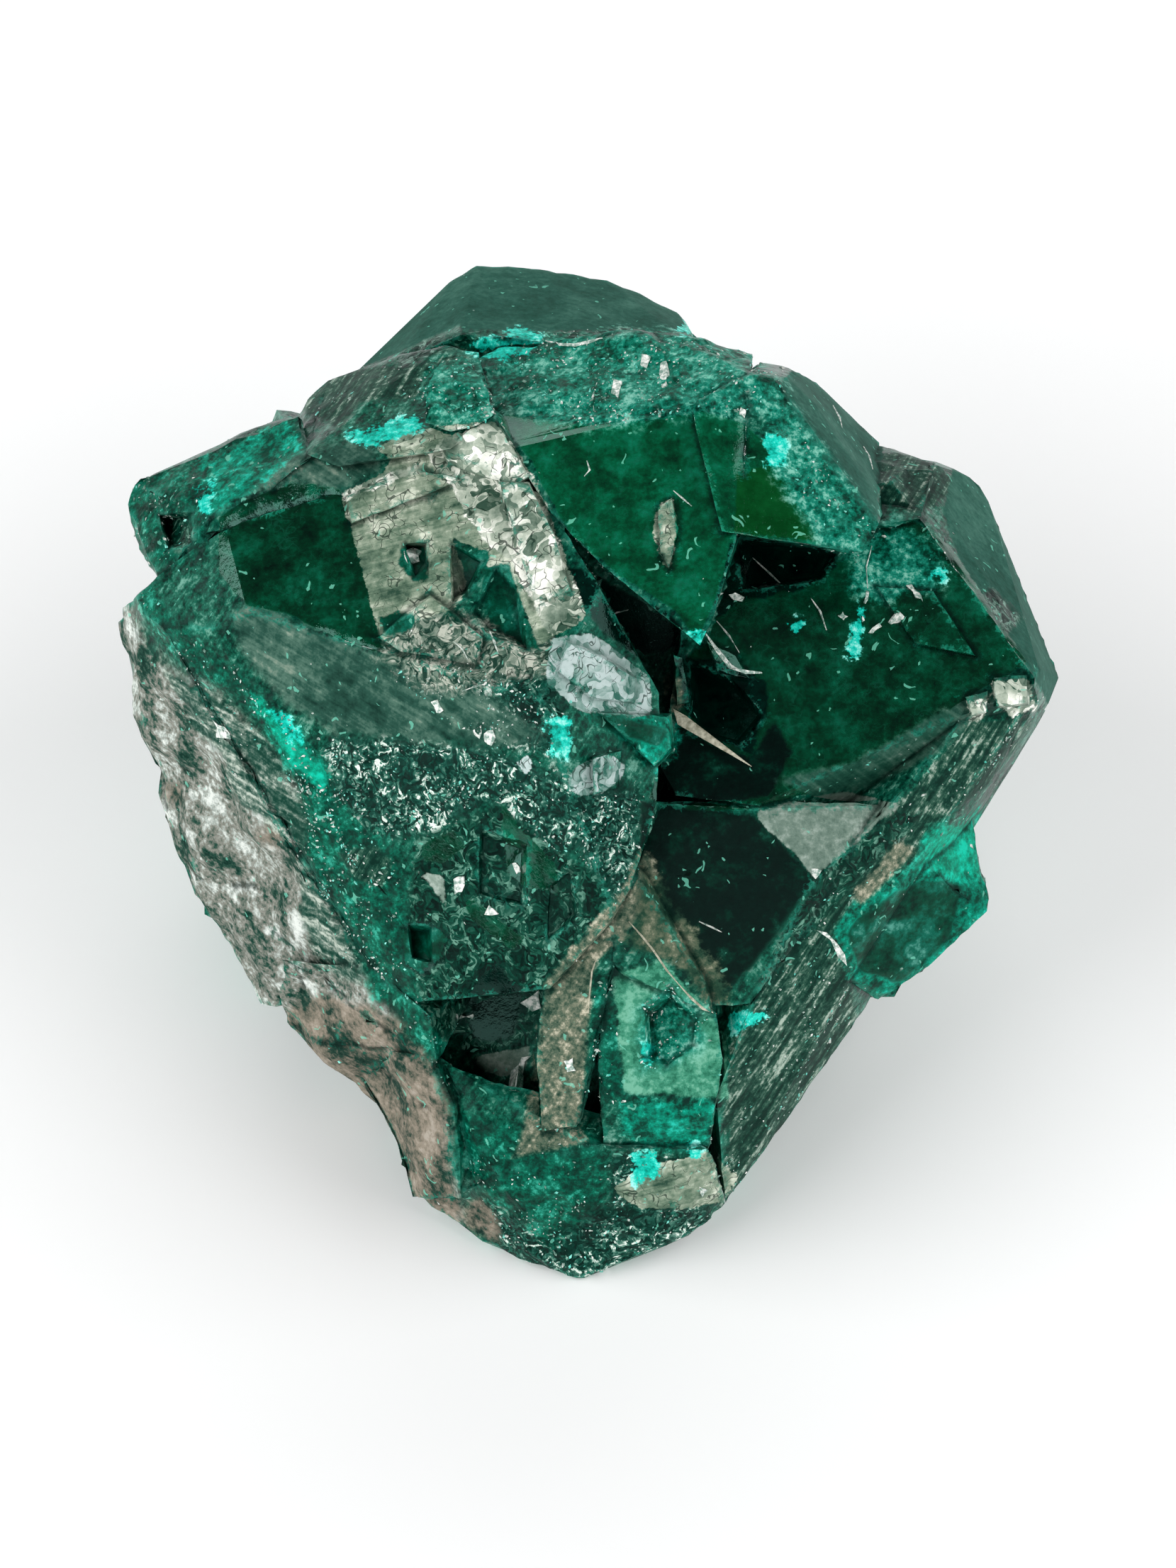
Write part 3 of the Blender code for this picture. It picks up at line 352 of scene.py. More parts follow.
# How ragged the border of each layer is and how soft (mm), how rough and how clear its ground
# is, how much its grains are tilted, and its colours from dark to light.
PAINTS = {
    "wall": (1.0, 0.3, 0.8, 0.0, 0.1, "blotch", [
        (0.34, (4, 40, 31)), (0.42, (36, 70, 58)), (0.47, (96, 104, 95)), (0.53, (130, 130, 121)),
        (0.58, (156, 165, 158)), (0.66, (212, 217, 211)),
    ]),
    "brown": (1.6, 0.2, 0.8, 0.0, 0.1, "blotch", [
        (0.3, (8, 36, 28)), (0.4, (30, 56, 46)), (0.5, (104, 100, 88)), (0.6, (138, 128, 114)),
        (0.72, (164, 156, 144)),
    ]),
    "fibre": (1.6, 0.1, 0.7, 0.0, 0.3, "down", [
        (0.36, (10, 54, 42)), (0.46, (46, 80, 68)), (0.55, (102, 122, 110)),
        (0.66, (178, 188, 176)),
    ]),
    "frost": (1.6, 0.2, 0.45, 0.0, 0.9, "grains", [
        (0.1, (0, 24, 18)), (0.36, (2, 48, 38)), (0.6, (28, 84, 70)), (0.8, (92, 138, 121)),
        (0.96, (228, 240, 230)),
    ]),
    "moss": (1.4, 0.2, 0.45, 0.0, 0.5, "rough", [
        (0.3, (0, 28, 20)), (0.45, (0, 58, 44)), (0.58, (0, 96, 74)), (0.76, (60, 176, 152)),
    ]),
    "brushed": (1.4, 0.25, 0.6, 0.0, 0.15, "brush", [
        (0.3, (10, 42, 33)), (0.44, (34, 72, 60)), (0.56, (76, 108, 94)), (0.72, (144, 158, 142)),
    ]),
    "striated": (0.8, 0.06, 0.55, 0.0, 0.15, "steep", [
        (0.36, (0, 34, 25)), (0.47, (12, 54, 42)), (0.57, (50, 88, 72)), (0.69, (160, 178, 164)),
    ]),
    "ash": (1.8, 0.25, 0.6, 0.0, 0.4, "crackle", [
        (0.3, (24, 52, 42)), (0.45, (78, 102, 88)), (0.58, (122, 136, 122)),
        (0.75, (186, 190, 176)),
    ]),
    "grey": (0.4, 0.04, 0.7, 0.0, 0.04, "fine", [
        (0.3, (16, 62, 50)), (0.5, (34, 84, 71)), (0.7, (62, 108, 94)),
    ]),
    "mint": (0.5, 0.06, 0.5, 0.0, 0.1, "rough", [
        (0.34, (28, 96, 72)), (0.5, (62, 138, 110)), (0.64, (108, 172, 146)),
    ]),
    "dark": (1.0, 0.1, 0.3, 0.0, 0.35, "crackle", [
        (0.22, (0, 14, 10)), (0.42, (0, 38, 28)), (0.62, (12, 70, 54)), (0.82, (96, 142, 124)),
    ]),
    "deep": (0.5, 0.03, 0.05, 0.65, 0.02, "cloud", [
        (0.3, (0, 32, 18)), (0.45, (0, 68, 40)), (0.56, (0, 98, 64)), (0.72, (14, 144, 106)),
    ]),
    "glow": (0.5, 0.03, 0.05, 0.6, 0.02, "cloud", [
        (0.3, (0, 52, 30)), (0.45, (0, 94, 56)), (0.56, (0, 126, 82)), (0.72, (18, 164, 122)),
    ]),
    "leaf": (0.4, 0.04, 0.05, 0.5, 0.02, "cloud", [(0.38, (0, 76, 26)), (0.66, (8, 104, 46))]),
    # Painted shadow in the deep pockets.
    "recess_shadow": (0.8, 0.1, 0.5, 0.0, 0.1, "cloud", [
        (0.3, (0, 2, 2)), (0.5, (0, 12, 8)), (0.62, (0, 36, 25)), (0.78, (22, 82, 66)),
    ]),
    "teal": (1.8, 0.25, 0.4, 0.0, 0.6, "rough", [
        (0.36, (0, 54, 40)), (0.46, (4, 96, 76)), (0.56, (28, 136, 114)), (0.68, (124, 192, 172)),
    ]),
    # Painted shadow in recesses and under overhangs.
    "black_shadow": (0.9, 0.08, 0.06, 0.2, 0.02, "cloud", [(0.38, (0, 6, 5)), (0.66, (0, 34, 26))]),
    "pale": (0.4, 0.03, 0.6, 0.0, 0.05, "fine", [
        (0.34, (76, 98, 87)), (0.5, (110, 130, 118)), (0.66, (158, 172, 162)),
    ]),
    "emerald": (1.4, 0.15, 0.55, 0.0, 0.3, "rough", [
        (0.36, (0, 56, 42)), (0.46, (0, 96, 76)), (0.58, (0, 136, 110)), (0.72, (36, 190, 168)),
    ]),
    "jade": (1.2, 0.2, 0.5, 0.0, 0.2, "rough", [
        (0.36, (0, 108, 84)), (0.5, (0, 152, 122)), (0.66, (10, 192, 162)),
    ]),
    # Painted sheen of the cleavage faces.
    "silver_sheen": (0.6, 0.02, 0.5, 0.0, 0.05, "sheen", [
        (0.34, (40, 68, 54)), (0.45, (98, 120, 100)), (0.54, (144, 158, 138)),
        (0.64, (210, 216, 198)),
    ]),
    # Painted highlight, the brightest sheen of the cleavage faces.
    "bright": (0.7, 0.03, 0.4, 0.0, 0.2, "mirror", [
        (0.3, (50, 76, 62)), (0.42, (116, 134, 118)), (0.53, (178, 188, 172)),
        (0.66, (250, 250, 240)),
    ]),
    # Painted sheen of the pale plates.
    "sheet": (0.4, 0.02, 0.3, 0.0, 0.04, "mirror", [
        (0.32, (50, 98, 86)), (0.43, (122, 152, 144)), (0.6, (182, 198, 196)),
    ]),
    "pit": (0.8, 0.05, 0.4, 0.0, 0.2, "cloud", [
        (0.34, (0, 30, 20)), (0.5, (0, 62, 44)), (0.62, (10, 96, 78)), (0.74, (80, 150, 134)),
    ]),
    "haze": (0.9, 0.12, 0.6, 0.0, 0.1, "brush", [
        (0.3, (8, 46, 36)), (0.46, (28, 70, 56)), (0.6, (62, 98, 84)), (0.74, (134, 152, 140)),
    ]),
    "tan": (0.8, 0.1, 0.8, 0.0, 0.4, "bark", [
        (0.34, (26, 54, 42)), (0.46, (72, 90, 74)), (0.56, (112, 118, 99)), (0.7, (196, 190, 168)),
    ]),
    "crest": (1.6, 0.15, 0.7, 0.0, 0.4, "cloud", [
        (0.3, (6, 38, 28)), (0.48, (40, 70, 53)), (0.6, (92, 102, 82)), (0.74, (176, 170, 146)),
    ]),
    # Painted highlights of light through thin edges.
    "cyan_highlight": (2.0, 0.06, 0.4, 0.0, 0.5, "rough", [
        (0.36, (0, 122, 106)), (0.46, (0, 170, 150)), (0.58, (32, 210, 190)),
        (0.72, (165, 246, 234)),
    ]),
}
BASE_FINISH = (0.3, 0.0, 0.3, 1.0)  # roughness, clearness and tilt, with an unused fourth value
BASE_PAINT = [
    (0.36, (0, 30, 23)), (0.46, (4, 62, 47)), (0.56, (20, 96, 76)), (0.7, (104, 158, 140)),
]
# Colours along the outer edges: partly wear, partly painted highlight.
RIM_WEAR_AND_HIGHLIGHT_PAINT = [(0.36, (6, 96, 76)), (0.52, (48, 150, 128)), (0.68, (170, 215, 200))]
CRACK_PAINT = (14, 38, 28)
VEIL_PAINT = (30, 124, 96)
# The colour of the painted shade in creases.
CREASE_SHADE_PAINT = (0, 24, 18)
# The colour of painted glints on sparse specks.
SPECK_GLINT_PAINT = (110, 195, 170)
CRACKED = {
    "silver_sheen": (0.8, CRACK_PAINT), "bright": (0.8, CRACK_PAINT), "sheet": (0.8, CRACK_PAINT),
    "ash": (0.8, CRACK_PAINT), "deep": (0.3, VEIL_PAINT), "glow": (0.3, VEIL_PAINT),
}
GRAIN_SCALE = 7.0  # waves per mm
GRAIN_ROUGHNESS = 0.35
GRAIN_SPECULAR = 0.4
# White is the colour of the chips and hairs and, on the scattered grains, also a painted glint;
# cyan is a painted glint.
WHITE_GRAIN_AND_GLINT = [(0.4, (120, 150, 138)), (0.52, (205, 212, 205)), (0.62, (244, 244, 238))]
CREAM_GRAIN = [(0.35, (136, 134, 114)), (0.65, (208, 204, 184))]
CYAN_GLINT_GRAIN = [(0.35, (40, 180, 160)), (0.65, (150, 235, 220))]
GREEN_GRAIN = [(0.35, (70, 112, 98)), (0.65, (132, 164, 150))]
LINE_SLANTS = {"sheen": -15.0, "down": 32.0, "steep": -57.0}  # degrees, down to the right

# Thin white splinters and hairs that lie on the faces, in pixels of the photograph.
CHIPS = [
    [(570, 778), (584, 774), (595, 778), (592, 792), (575, 795)],
    [(690, 1277), (704, 1289), (684, 1290)],
    [(760, 1397), (763, 1422), (751, 1427), (734, 1415)],
    [(750, 1489), (738, 1516), (735, 1541), (718, 1538), (722, 1510), (736, 1492)],
    [(643, 1430), (667, 1430), (666, 1437), (645, 1438)],
    [(723, 1218), (729, 1217), (735, 1230), (729, 1233)],
    [(1028, 839), (1037, 837), (1050, 843), (1047, 849), (1034, 846)],
    [(1182, 869), (1189, 864), (1196, 870), (1190, 875)],
    [(1225, 893), (1240, 880), (1244, 884), (1231, 894)],
    [(1253, 878), (1262, 867), (1270, 864), (1276, 870), (1266, 879), (1257, 881)],
    [(1278, 826), (1286, 825), (1298, 838), (1302, 849), (1291, 843)],
    [(1222, 833), (1226, 836), (1221, 852), (1218, 850)],
    [(932, 513), (941, 511), (940, 546), (934, 547)],
    [(986, 1674), (997, 1678), (990, 1688)],
    [(667, 1030), (679, 1023), (677, 1042)],
    [(683, 1035), (696, 1029), (694, 1052), (684, 1046)],
    [(608, 990), (618, 987), (626, 1002), (616, 1005)],
    [(640, 1240), (655, 1236), (652, 1258), (642, 1262)],
    [(1045, 575), (1052, 580), (1050, 590), (1043, 585)],
    [(1145, 1225), (1158, 1228), (1150, 1240)],
    [(1152, 1312), (1180, 1330), (1194, 1362), (1182, 1350)],
    [(795, 1496), (808, 1492), (812, 1510), (800, 1512)],
    [(866, 535), (878, 540), (872, 562), (862, 555)],
    [(905, 500), (918, 505), (912, 520), (903, 515)],
    [(300, 1015), (318, 1025), (326, 1042), (305, 1040)],
]
HAIRS = [
    (0.05, [(770, 481), (790, 486), (812, 487), (832, 483), (850, 477)]),
    (0.03, [(1062, 787), (1085, 808), (1113, 835)]),
    (0.07, [(992, 889), (1010, 915), (1030, 940), (1052, 949), (1075, 949)]),
    (0.03, [(855, 873), (870, 864), (887, 860)]),
    (0.04, [(691, 891), (697, 905), (703, 922)]),
    (0.03, [(652, 975), (668, 969), (684, 965)]),
    (0.03, [(986, 1300), (1002, 1307), (1018, 1315)]),
    (0.03, [(950, 692), (963, 703), (976, 714)]),
    (0.03, [(1218, 630), (1226, 645), (1231, 662)]),
    (0.03, [(1144, 844), (1157, 862), (1166, 889)]),
    (0.03, [(1011, 876), (1028, 896), (1043, 921)]),
    (0.03, [(842, 540), (836, 560), (838, 580)]),
    (0.03, [(828, 650), (832, 663), (824, 672)]),
    (0.03, [(1175, 572), (1184, 590), (1188, 604)]),
    (0.025, [(1230, 770), (1222, 800), (1224, 830)]),
    (0.03, [(640, 905), (652, 915), (660, 930)]),
]
FRINGE = [
    (0.03, [(887, 1300), (905, 1320), (922, 1341), (940, 1368), (957, 1388)]),
    (0.04, [(957, 1388), (975, 1408), (992, 1422), (1010, 1430)]),
    (0.025, [(841, 1353), (835, 1370), (832, 1399), (830, 1430)]),
]
NEEDLE_FOOT = [(950, 1000), (968, 1010), (956, 1022)]
NEEDLE_TIP = (1060, 1081)
NEEDLE_SUNK = 0.15  # mm
NEEDLE_LIFT = 0.35  # mm, of its tip
GRAIN_COUNT = 5200
GRAIN_SEED = 7
GRAIN_CLUMPS = 0.7  # mm
GRAIN_GROUNDS = ("frost", "teal", "fibre")
GRAIN_FREE = ("deep", "glow", "leaf", "black_shadow", "recess_shadow", "pale", "grey", "silver_sheen", "bright", "wall")


def picture_offset():
    """How far the middle of the photograph lies from the middle of the specimen, in millimetres."""
    return (np.array(PHOTO_SIZE) / 2.0 - PHOTO_MIDDLE) / PIXELS_PER_MM


def picture_place(points):
    """The pixel across and the pixel down where the viewer sees each point (metres)."""
    local = points / MM - MIDDLE
    scale = PIXELS_PER_MM * CAMERA_DISTANCE / (CAMERA_DISTANCE + SCALE_PLANE - local @ OUT)
    offset = picture_offset()
    across = PHOTO_SIZE[0] / 2.0 + (local @ RIGHT - offset[0]) * scale
    down = PHOTO_SIZE[1] / 2.0 - (local @ UP + offset[1]) * scale
    return across, down


def add_camera():
    offset = picture_offset()
    aim = MIDDLE + RIGHT * offset[0] - UP * offset[1] + OUT * SCALE_PLANE
    data = bpy.data.cameras.new("camera")
    data.lens = LENS
    data.sensor_width = SENSOR
    data.clip_start = 0.01
    data.clip_end = 10.0
    camera = bpy.data.objects.new("camera", data)
    camera.location = Vector((aim + OUT * CAMERA_DISTANCE) * MM)
    camera.rotation_mode = "QUATERNION"
    camera.rotation_quaternion = Vector(-OUT).to_track_quat("-Z", "Y")
    bpy.context.scene.collection.objects.link(camera)
    bpy.context.scene.camera = camera


def add_softbox(name, place, width, height, power):
    """A rectangular studio light. Places are in millimetres."""
    data = bpy.data.lights.new(name, "AREA")
    data.shape = "RECTANGLE"
    data.size = width * MM
    data.size_y = height * MM
    data.energy = power
    light = bpy.data.objects.new(name, data)
    light.location = Vector(place) * MM
    light.rotation_mode = "QUATERNION"
    light.rotation_quaternion = (Vector(LIGHTS_AIM) - Vector(place)).to_track_quat("-Z", "Y")
    light.visible_camera = False
    bpy.context.scene.collection.objects.link(light)


def add_studio():
    for name, (place, width, height, power) in SOFTBOXES.items():
        add_softbox(name, place, width, height, power)
    world = bpy.data.worlds.new("studio")
    world.use_nodes = True
    world.node_tree.nodes["Background"].inputs["Color"].default_value = WORLD_COLOUR
    world.node_tree.nodes["Background"].inputs["Strength"].default_value = WORLD_STRENGTH
    bpy.context.scene.world = world
    bpy.context.scene.view_settings.view_transform = "Standard"
    mesh = bpy.data.meshes.new("floor")
    reach = FLOOR_REACH
    corners = [(-reach, -reach, 0), (reach, -reach, 0), (reach, reach, 0), (-reach, reach, 0)]
    mesh.from_pydata(corners, [], [(0, 1, 2, 3)])
    floor = bpy.data.objects.new("floor", mesh)
    bpy.context.scene.collection.objects.link(floor)
    material = bpy.data.materials.new("floor")
    material.use_nodes = True
    shader = material.node_tree.nodes["Principled BSDF"]
    shader.inputs["Base Color"].default_value = FLOOR_COLOUR
    shader.inputs["Roughness"].default_value = FLOOR_ROUGHNESS
    mesh.materials.append(material)


def seen_from_camera(points, normals, tree):
    """1 for each point that the viewer sees and 0 for the others."""
    eye = (MIDDLE + OUT * (SCALE_PLANE + CAMERA_DISTANCE)) * MM
    seen = np.zeros(len(points))
    facing = np.einsum("ij,ij->i", normals, eye - points) > 0.0
    for index in np.nonzero(facing)[0]:
        start = Vector(points[index] + normals[index] * SKIN * MM)
        way = (Vector(eye) - start).normalized()
        seen[index] = tree.ray_cast(start + way * SIGHT_START * MM, way)[0] is None
    return seen


def split_long_edges(shape, rounds):
    for _ in range(rounds):
        long_edges = []
        for edge in shape.edges:
            normal = edge.verts[0].normal + edge.verts[1].normal
            toward = normal.x * OUT[0] + normal.y * OUT[1] + normal.z * OUT[2]
            limit = FINE_EDGE if toward > -0.1 else COARSE_EDGE
            if edge.calc_length() > limit * MM:
                long_edges.append(edge)
        if not long_edges:
            return
        bmesh.ops.subdivide_edges(shape, edges=long_edges, cuts=1)
        bmesh.ops.triangulate(shape, faces=shape.faces)


def edge_points(shape, convex):
    """Points along the sharp edges that stick out, or along those that lie in a crease (mm)."""
    found = []
    for edge in shape.edges:
        if not edge.is_manifold or edge.calc_face_angle() < SHARP_ANGLE:
            continue
        if (edge.calc_face_angle_signed() > 0.0) != convex:
            continue
        start, end = (vert.co / MM for vert in edge.verts)
        steps = max(2, int((end - start).length / EDGE_STEP))
        found += [start.lerp(end, step / steps) for step in range(steps + 1)]
    tree = KDTree(len(found))
    for index, point in enumerate(found):
        tree.insert(point, index)
    tree.balance()
    return tree


def fine_mesh():
    """A fine copy of the solid's surface, with the trees of its outer and its inner edges."""
    shape = bmesh.new()
    shape.from_mesh(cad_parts[CLUSTER].data)
    bmesh.ops.remove_doubles(shape, verts=shape.verts, dist=0.002 * MM)
    shape.normal_update()
    outer, inner = edge_points(shape, True), edge_points(shape, False)
    split_long_edges(shape, 8)
    shape.normal_update()
    for edge in shape.edges:
        edge.smooth = not edge.is_manifold or edge.calc_face_angle() < SMOOTH_ANGLE
    for face in shape.faces:
        face.smooth = True
    mesh = bpy.data.meshes.new("dioptase")
    shape.to_mesh(mesh)
    shape.free()
    return mesh, outer, inner


def facet_height(place, size):
    """Height of flat chips, each with its own tilt, at a place in millimetres."""
    _, centres = noise.voronoi(place / size)
    tilt = noise.noise_vector(centres[0] * CHIP_SEED)
    return (place / size - centres[0]).dot(tilt) * size


def line_places(points):
    """Places along and across each set of fine lines, in millimetres."""
    local = points / MM - MIDDLE
    right, up = local @ RIGHT, local @ UP
    places = {}
    for name, slant in LINE_SLANTS.items():
        angle = math.radians(-slant)
        along = right * math.cos(angle) + up * math.sin(angle)
        across = up * math.cos(angle) - right * math.sin(angle)
        places[name] = (along, across)
    return places


def share(distance, soft=0.2):
    return np.clip(distance / soft + 0.5, 0.0, 1.0)


def lumps(place, size):
    """Height of soft lumps at a place in millimetres, from their height and spacing."""
    height, spacing = size
    return height * noise.noise(place / spacing)


def relief(points, layers, rims, lines):
    """How far each point is raised, in millimetres."""
    plain = ("deep", "glow", "leaf", "black_shadow", "recess_shadow", "grey", "mint", "pale")
    flat = np.maximum.reduce([share(layers[name]) for name in plain])
    soft = np.maximum(share(layers["wall"]), share(layers["moss"])) * (1.0 - flat)
    rough = np.maximum.reduce([share(layers[name]) for name in GRAIN_GROUNDS]) * (1.0 - flat)
    lined = np.maximum(share(layers["striated"]), share(layers["brushed"])) * (1.0 - flat)
    heights = np.zeros(len(points))
    steep_along, steep_across = lines["steep"]
    for index, point in enumerate(points):
        place = Vector(point) / MM
        height = (1.0 - flat[index]) * lumps(place, PLAIN_LUMPS)
        if soft[index] > 0.0:
            height += soft[index] * sum(lumps(place, size) for size in SOFT_LUMPS)
        if rough[index] > 0.0:
            chips = CHIP_RELIEF[0] * facet_height(place, CHIP_RELIEF[1])
            height += rough[index] * (chips + lumps(place, ROUGH_LUMPS))
        if lined[index] > 0.0:
            ridge = Vector((steep_across[index] * RIDGES[1], steep_along[index] * RIDGES[2], 0.0))
            height += lined[index] * RIDGES[0] * noise.noise(ridge)
        wear = max(0.0, 1.0 - rims[index] / WEAR[1])
        if wear > 0.0:
            height -= WEAR[0] * wear * (0.6 + noise.noise(place / WEAR[2]))
        heights[index] = height
    heights[points[:, 2] < FOOT_HEIGHT * MM] = 0.0
    return heights


def inside_distance(across, down, outline):
    """Distance of each place inside an outline, in pixels, and below 0 outside it."""
    corners = np.array(outline, float)
    nearest = np.full(len(across), 1e9)
    inside = np.zeros(len(across), bool)
    for start, end in zip(corners, np.roll(corners, -1, axis=0)):
        side = end - start
        along = (across - start[0]) * side[0] + (down - start[1]) * side[1]
        along = np.clip(along / (side @ side), 0.0, 1.0)
        gap = np.hypot(across - start[0] - along * side[0], down - start[1] - along * side[1])
        nearest = np.minimum(nearest, gap)
        crosses = (start[1] > down) != (end[1] > down)
        rise = end[1] - start[1] if end[1] != start[1] else 1e-9
        inside ^= crosses & (across < start[0] + (down - start[1]) * side[0] / rise)
    return np.where(inside, nearest, -nearest)


def layer_distances(points, across, down, seen):
    """For each layer, how far inside its nearest outline each point lies, in millimetres."""
    distances = {}
    for number, (name, outlines) in enumerate(LAYERS.items()):
        most = np.full(len(across), FAR_OUTSIDE)
        for outline in outlines:
            most = np.maximum(most, inside_distance(across, down, outline) / PIXELS_PER_MM)
        hidden = np.full(len(across), FAR_OUTSIDE)
        if name in HIDDEN_SHARES:
            shift = Vector((number * 7.3, 1.7, 4.1))
            for index in np.nonzero(seen < 0.999)[0]:
                cloud = noise.noise(Vector(points[index]) / (HIDDEN_SPACING * MM) + shift)
                hidden[index] = HIDDEN_STRENGTH * (cloud + HIDDEN_SHARES[name])
        distances[name] = most * seen + hidden * (1.0 - seen)
    return distances


def spread(mesh, values, rounds):
    """Values smoothed over the mesh, but nowhere lower than they were."""
    ends = np.zeros(len(mesh.edges) * 2, np.int32)
    mesh.edges.foreach_get("vertices", ends)
    ends = ends.reshape(-1, 2)
    smooth = values.astype(float)
    for _ in range(rounds):
        total, count = smooth.copy(), np.ones(len(values))
        for one, other in ((0, 1), (1, 0)):
            np.add.at(total, ends[:, one], smooth[ends[:, other]])
            np.add.at(count, ends[:, one], 1.0)
        smooth = np.maximum(total / count, values)
    return smooth


def set_attribute(mesh, name, values):
    attribute = mesh.attributes.new(name, "FLOAT", "POINT")
    attribute.data.foreach_set("value", np.asarray(values, np.float32))


def mesh_arrays(mesh):
    points = np.zeros(len(mesh.vertices) * 3, np.float32)
    mesh.vertices.foreach_get("co", points)
    normals = np.zeros(len(mesh.vertices) * 3, np.float32)
    mesh.vertices.foreach_get("normal", normals)
    return points.reshape(-1, 3).astype(float), normals.reshape(-1, 3).astype(float)


class Graph:
    """Short names for the shader nodes that the material is made of."""

    def __init__(self, tree):
        self.tree = tree

    def node(self, kind, **settings):
        made = self.tree.nodes.new(kind)
        for name, value in settings.items():
            setattr(made, name, value)
        return made

    def feed(self, socket, value):
        if isinstance(value, bpy.types.NodeSocket):
            self.tree.links.new(value, socket)
        else:
            socket.default_value = value

    def math(self, operation, first, second=0.0, third=0.0):
        made = self.node("ShaderNodeMath", operation=operation)
        for socket, value in zip(made.inputs, (first, second, third)):
            self.feed(socket, value)
        return made.outputs[0]

    def vector(self, operation, first, second=(0.0, 0.0, 0.0)):
        made = self.node("ShaderNodeVectorMath", operation=operation)
        self.feed(made.inputs[0], first)
        if operation == "SCALE":
            self.feed(made.inputs["Scale"], second)
        else:
            self.feed(made.inputs[1], second)
        return made.outputs[0]

    def step(self, value, low, high):
        """0 below low and 1 above high."""
        made = self.node("ShaderNodeMapRange", interpolation_type="SMOOTHSTEP")
        self.feed(made.inputs["Value"], value)
        self.feed(made.inputs["From Min"], low)
        self.feed(made.inputs["From Max"], high)
        return made.outputs[0]

    def mix(self, share, first, second):
        """Two numbers mixed."""
        made = self.node("ShaderNodeMix", data_type="FLOAT")
        self.feed(made.inputs[0], share)
        self.feed(made.inputs[2], first)
        self.feed(made.inputs[3], second)
        return made.outputs[0]

    def blend(self, share, first, second):
        """Two colours mixed."""
        made = self.node("ShaderNodeMix", data_type="RGBA")
        self.feed(made.inputs[0], share)
        self.feed(made.inputs[6], first)
        self.feed(made.inputs[7], second)
        return made.outputs[2]

    def attribute(self, name):
        return self.node("ShaderNodeAttribute", attribute_name=name).outputs["Fac"]

    def noise(self, place, scale, detail=3.0, roughness=0.6, dimensions="3D"):
        made = self.node("ShaderNodeTexNoise", noise_dimensions=dimensions)
        self.feed(made.inputs["Vector"], place)
        made.inputs["Scale"].default_value = scale
        made.inputs["Detail"].default_value = detail
        made.inputs["Roughness"].default_value = roughness
        return made.outputs

    def cells(self, place, scale, feature="F1"):
        made = self.node("ShaderNodeTexVoronoi", feature=feature)
        self.feed(made.inputs["Vector"], place)
        made.inputs["Scale"].default_value = scale
        return made.outputs

    def parts(self, colour):
        made = self.node("ShaderNodeSeparateColor")
        self.feed(made.inputs[0], colour)
        return made.outputs

    def ramp(self, value, stops):
        """A colour that follows a value through stops of (value, colour)."""
        made = self.node("ShaderNodeValToRGB")
        self.feed(made.inputs[0], value)
        elements = made.color_ramp.elements
        while len(elements) < len(stops):
            elements.new(0.5)
        for element, (position, colour) in zip(elements, stops):
            element.position = position
            element.color = rgb(*colour)
        return made.outputs[0]

    def average(self, *values):
        total = values[0]
        for value in values[1:]:
            total = self.math("ADD", total, value)
        return self.math("DIVIDE", total, float(len(values)))


def rgb(red, green, blue):
    """A colour given as it looks on a screen, from 0 to 255, as the shader takes it."""
    levels = [value / 255.0 for value in (red, green, blue)]
    levels = [x / 12.92 if x <= 0.04045 else ((x + 0.055) / 1.055) ** 2.4 for x in levels]
    return (*levels, 1.0)


def line_texture(g, name):
    """Noise drawn out along one set of fine lines."""
    place = g.node("ShaderNodeCombineXYZ")
    g.feed(place.inputs[0], g.math("MULTIPLY", g.attribute(name + "_across"), LINE_SCALES[name]))
    g.feed(place.inputs[1], g.math("MULTIPLY", g.attribute(name + "_along"), LINE_STRETCH))
    return g.noise(place.outputs[0], 1.0, 2.0, 0.7, "2D")["Fac"]


def crack_lines(g, bent, broken):
    """1 on fine broken cracks and 0 elsewhere."""
    gap = g.cells(bent, CRACK_SCALE, "DISTANCE_TO_EDGE")["Distance"]
    width = g.math("MULTIPLY", g.step(broken, 0.42, 0.62), 0.05)
    return g.math("LESS_THAN", gap, width)


def stretched(g, value):
    """The value with its contrast raised around the middle."""
    return g.math("MULTIPLY_ADD", value, CONTRAST, 0.5 - 0.5 * CONTRAST)


